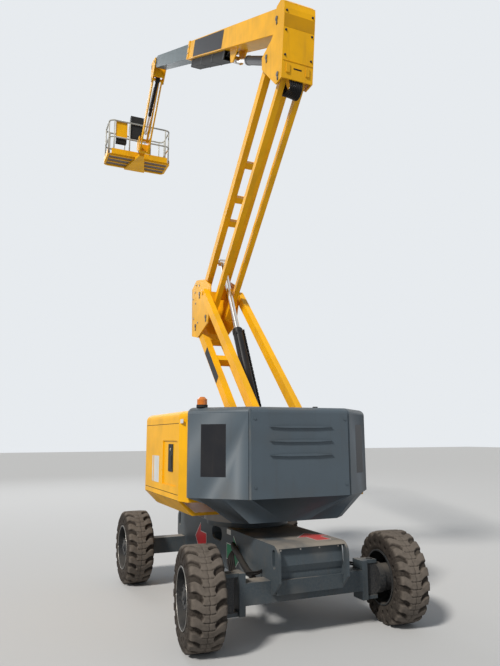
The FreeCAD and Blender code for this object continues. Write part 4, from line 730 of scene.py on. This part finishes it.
# Boom and fly
# A box section with a rolled collar and its wear-pad screws, a blank dark banner along each
# side, a black hose duct on brackets below, and the plain fly that slides out of it.
finish("fly_green", (0.086, 0.117, 0.130), 0.42, dust=0.06, streaks=0.3, mud=0.0, gloss=0.2)
boom_half, boom_end, collar_y, fly_tip, fly_y = 0.140, 4.106, 0.1478, 6.990, 0.1095
on_boom = dict(origin=boom_at, pitch=boom_pitch)
for side in (1, -1):
    banner = box(2.13, 3.71, side * (boom_half - sunk), side * (boom_half + skin), -0.128, 0.128)
    show(f"boom_banner_{side}", [banner], "banner_black", "boom", **on_boom)
    weld = hose([(x, side * boom_half, -boom_half) for x in (0.05, boom_end - 0.09)], 0.004, 8)
    show(f"boom_weld_{side}", [weld], "lift_yellow", "boom", smooth=True, **on_boom)
pads = [(x, z) for x in (boom_end - 0.065, boom_end - 0.025) for z in (-0.05, 0.05)]
collar_screws, fly_screws, fly_pin = [], [], []
for side in (1, -1):
    for plane in ("Y", "Z"):
        collar_screws += nuts(pads, plane, side * collar_y, side * (collar_y + 0.0082), 0.010)
    fly_screws += nuts([(x, z) for x in (6.66, 6.76) for z in (-0.07, 0.07)], "Y", side * fly_y,
                       side * (fly_y + 0.006), 0.009)
    fly_pin.append(prism(round_corners(0.026, 28, (fly_tip, 0.0)), "Y", side * 0.1315, side * 0.1395))
show("collar_screws", collar_screws, "screw_zinc", "boom", **on_boom)
duct_half, duct_low, duct_high, strap = 0.088, -0.2685, -0.141, 0.05
brackets = []
for x in (2.12, 2.7, 3.3, 3.88):
    brackets.append(box(x, x + strap, -duct_half, duct_half, duct_low, duct_low + 0.003))
    brackets += [box(x, x + strap, side * (duct_half - 0.0028), side * duct_half, duct_low, duct_high)
                 for side in (1, -1)]
show("duct_brackets", brackets, "rim_dark", "boom", **on_boom)
duct_hoses = side_by_side([(1.92, -0.148), (2.02, -0.180), (2.15, -0.215), (3.0, -0.225), (3.94, -0.215)],
                          (-0.055, -0.028, 0.0, 0.028, 0.055))
show("duct_hoses", duct_hoses, "hose_black", "boom", smooth=True, **on_boom)
show("fly_pin", fly_pin, "ring_steel", "jib_foot", **on_boom)
show("fly_screws", fly_screws, "screw_zinc", "fly", **on_boom)


# Jib
# Two narrow yellow bars with the cylinder between them, three black hoses along the right
# bar's outer face, and pin ends on the outer plates.
jib_pitch, jib_drop = radians(-46), (0, 0, -0.300)
jib_at = boom_at + laid([(fly_tip, 0, 0)], pitch=boom_pitch)[0] + (0.240, 0, 0.040)
jib_tip, jib_eye = (jib_at + laid([(length, 0, 0)], pitch=jib_pitch)[0] for length in (1.630, 1.450))
pin_ends("jib_foot_pins", "jib_foot", [jib_at, jib_at + jib_drop], 0.132, 0.008)
pin_ends("jib_tip_pins", "cage_bracket", [jib_tip, jib_tip + jib_drop], 0.132, 0.008)
jib_hoses = [hose(curved([(0.16, -0.087, z), (0.30, -0.087, z), (0.8, -0.086, z - 0.003), (1.2, -0.087, z),
                          (1.46, -0.087, z)]), 0.009) for z in (0.002, 0.022, 0.042)]
show("jib_hoses", jib_hoses, "hose_black", "jib_arm", smooth=True, origin=jib_at, pitch=jib_pitch)
cylinder_trim("jib_lift", jib_at + jib_drop, jib_eye, 0.840, 0.034, 0.019, 1)


# Basket
# Rails of bent round tube on stands with small feet, an open mesh floor over the ribs of its
# frame, the knobs and edge strip of the control box, and the gate bar's hinge sleeves.
finish("rail_white", (0.50, 0.50, 0.46), 0.45, dust=0.35, streaks=0.3, mud=0.0)
post = jib_tip + (0.278, 0, 0)
cage_x0, cage_x1, cage_half, ground, cage_height = 0.175, 0.875, 0.760, -0.235, 0.890
pipe, bend, inset = 0.019, 0.110, 0.0243
x0, x1, y1 = cage_x0 + inset, cage_x1 - inset, cage_half - inset


def rounded_loop(corners, radius, closed, bits=7):
    """A run along corners, each inner one turned by a quarter arc: centre - b r cos t - a r sin t,
    where a and b point from the corner to its neighbours and the centre is it + (a + b) r."""
    p, t = np.array(corners, float), np.linspace(0, pi / 2, bits)[:, None]
    arcs = []
    for i in range(len(p)) if closed else range(1, len(p) - 1):
        back, on = p[i - 1] - p[i], p[(i + 1) % len(p)] - p[i]
        a, b = back / np.linalg.norm(back), on / np.linalg.norm(on)
        arcs.append(p[i] + (a + b) * radius - b * radius * np.cos(t) - a * radius * np.sin(t))
    return np.concatenate([*arcs, arcs[0][:1]] if closed else [p[:1], *arcs, p[-1:]])


top_z, mid_z = ground + cage_height - pipe, ground + cage_height / 2
step_z = ground + 0.0043
corners = [(x0, -y1), (x1, -y1), (x1, y1), (x0, y1)]
rails = [hose(rounded_loop([(x, y, top_z) for x, y in corners], bend, True), pipe, 16)]
rails.append(hose(rounded_loop([(x1 - bend, -y1, mid_z), (x1, -y1, mid_z), (x1, y1, mid_z), (x0, y1, mid_z),
                                (x0, -y1, mid_z), (x0 + bend, -y1, mid_z)], bend, False), pipe, 16))
stands = [(x, y) for x in (x0, x1) for y in (0.255, -0.255, y1 - bend, bend - y1)]
stands += [(x, side * y1) for side in (1, -1) for x in (x0 + bend, x1 - bend)]
rails += [hose([(x, y, step_z), (x, y, top_z)], 0.016, 14) for x, y in stands]
rails += [prism(round_corners(0.024, 16, (x, y)), "Z", step_z, step_z + 0.006) for x, y in stands]
basket_rails = show("basket_rails", rails, "rail_white", "cage", smooth=True, origin=post)
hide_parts("cage_rails")
mesh_look, mesh_shader = new_material("floor_mesh")
mesh_tree = mesh_look.node_tree
mesh_place = mesh_tree.nodes.new("ShaderNodeTexCoord").outputs["Object"]
# The mesh's holes are painted near black as painted shade; the mask is 1 on the wires and 0 in the holes.
cells = mesh_tree.nodes.new("ShaderNodeTexVoronoi")
cells.inputs["Scale"].default_value, cells.inputs["Randomness"].default_value = 38.0, 0.0
wires_over_hole_shade = range_node(mesh_tree, cells.outputs["Distance"], 0.30, 0.36)
mesh_worn = weathered(mesh_tree, (0.16, 0.125, 0.11), 0.6, 0.5, 0.2, 0.0)
mesh_colour = mix_node(mesh_tree, wires_over_hole_shade, (0.012, 0.010, 0.010, 1), mesh_worn.outputs["Color"])
join_sockets(mesh_tree, (mesh_place, cells.inputs["Vector"]),
             (mesh_worn.outputs["Roughness"], mesh_shader.inputs["Roughness"]),
             (mesh_colour, mesh_shader.inputs["Base Color"]))
look["floor_mesh"] = mesh_look
inner = 0.050
within = (cage_x0 + inner, cage_x1 - inner, -cage_half + inner, cage_half - inner)
treads = [box(*within, ground + low, ground + high) for low, high in ((0.0078, 0.0084), (-0.0006, -0.0001))]
show("basket_floor_mesh", treads, "floor_mesh", "cage", origin=post)
floor_ribs = [box(x - 0.012, x + 0.012, -cage_half + 0.06, cage_half - 0.06, ground - 0.022, ground - 0.0005)
              for x in (0.42, 0.60)]
show("floor_frame_ribs", floor_ribs, "lift_yellow", "cage", bevel=0.002, origin=post)

# The knobs stand on the control box's sloping lid, in five rows of two.
low_z, high_z, lid_rise, lid_run, lid_pitch = ground + 0.510, ground + cage_height, 0.235, 0.170, radians(54)
box_x = cage_x0 + 0.0436
knobs = []
for y in (-0.04, 0.02, 0.08, 0.14, 0.20):
    for share, knob_height in ((0.3, 0.016), (0.7, 0.010)):
        lid = (box_x + 0.226 - lid_run * share, y, high_z - 0.043 + lid_rise * share)
        points, faces = prism(round_corners(0.011, 14, start=-pi / 2), "X", -0.002, knob_height)
        knobs.append((laid(points, lid, lid_pitch), faces))
show("control_knobs", knobs, "rim_dark", "cage", bevel=0.0015, origin=post)
show("control_edge", [box(box_x, box_x + 0.004, 0.238, 0.242, low_z, high_z + 0.195)], "label_white", "cage",
     origin=post)
sleeves = [prism(round_corners(0.021, 18, (-y1, mid_z)), "X", x - 0.012, x + 0.012)
           for x in (x0 + bend + 0.024, x1 - bend - 0.024)]
show("gate_hinges", sleeves, "screw_zinc", "cage", origin=post)
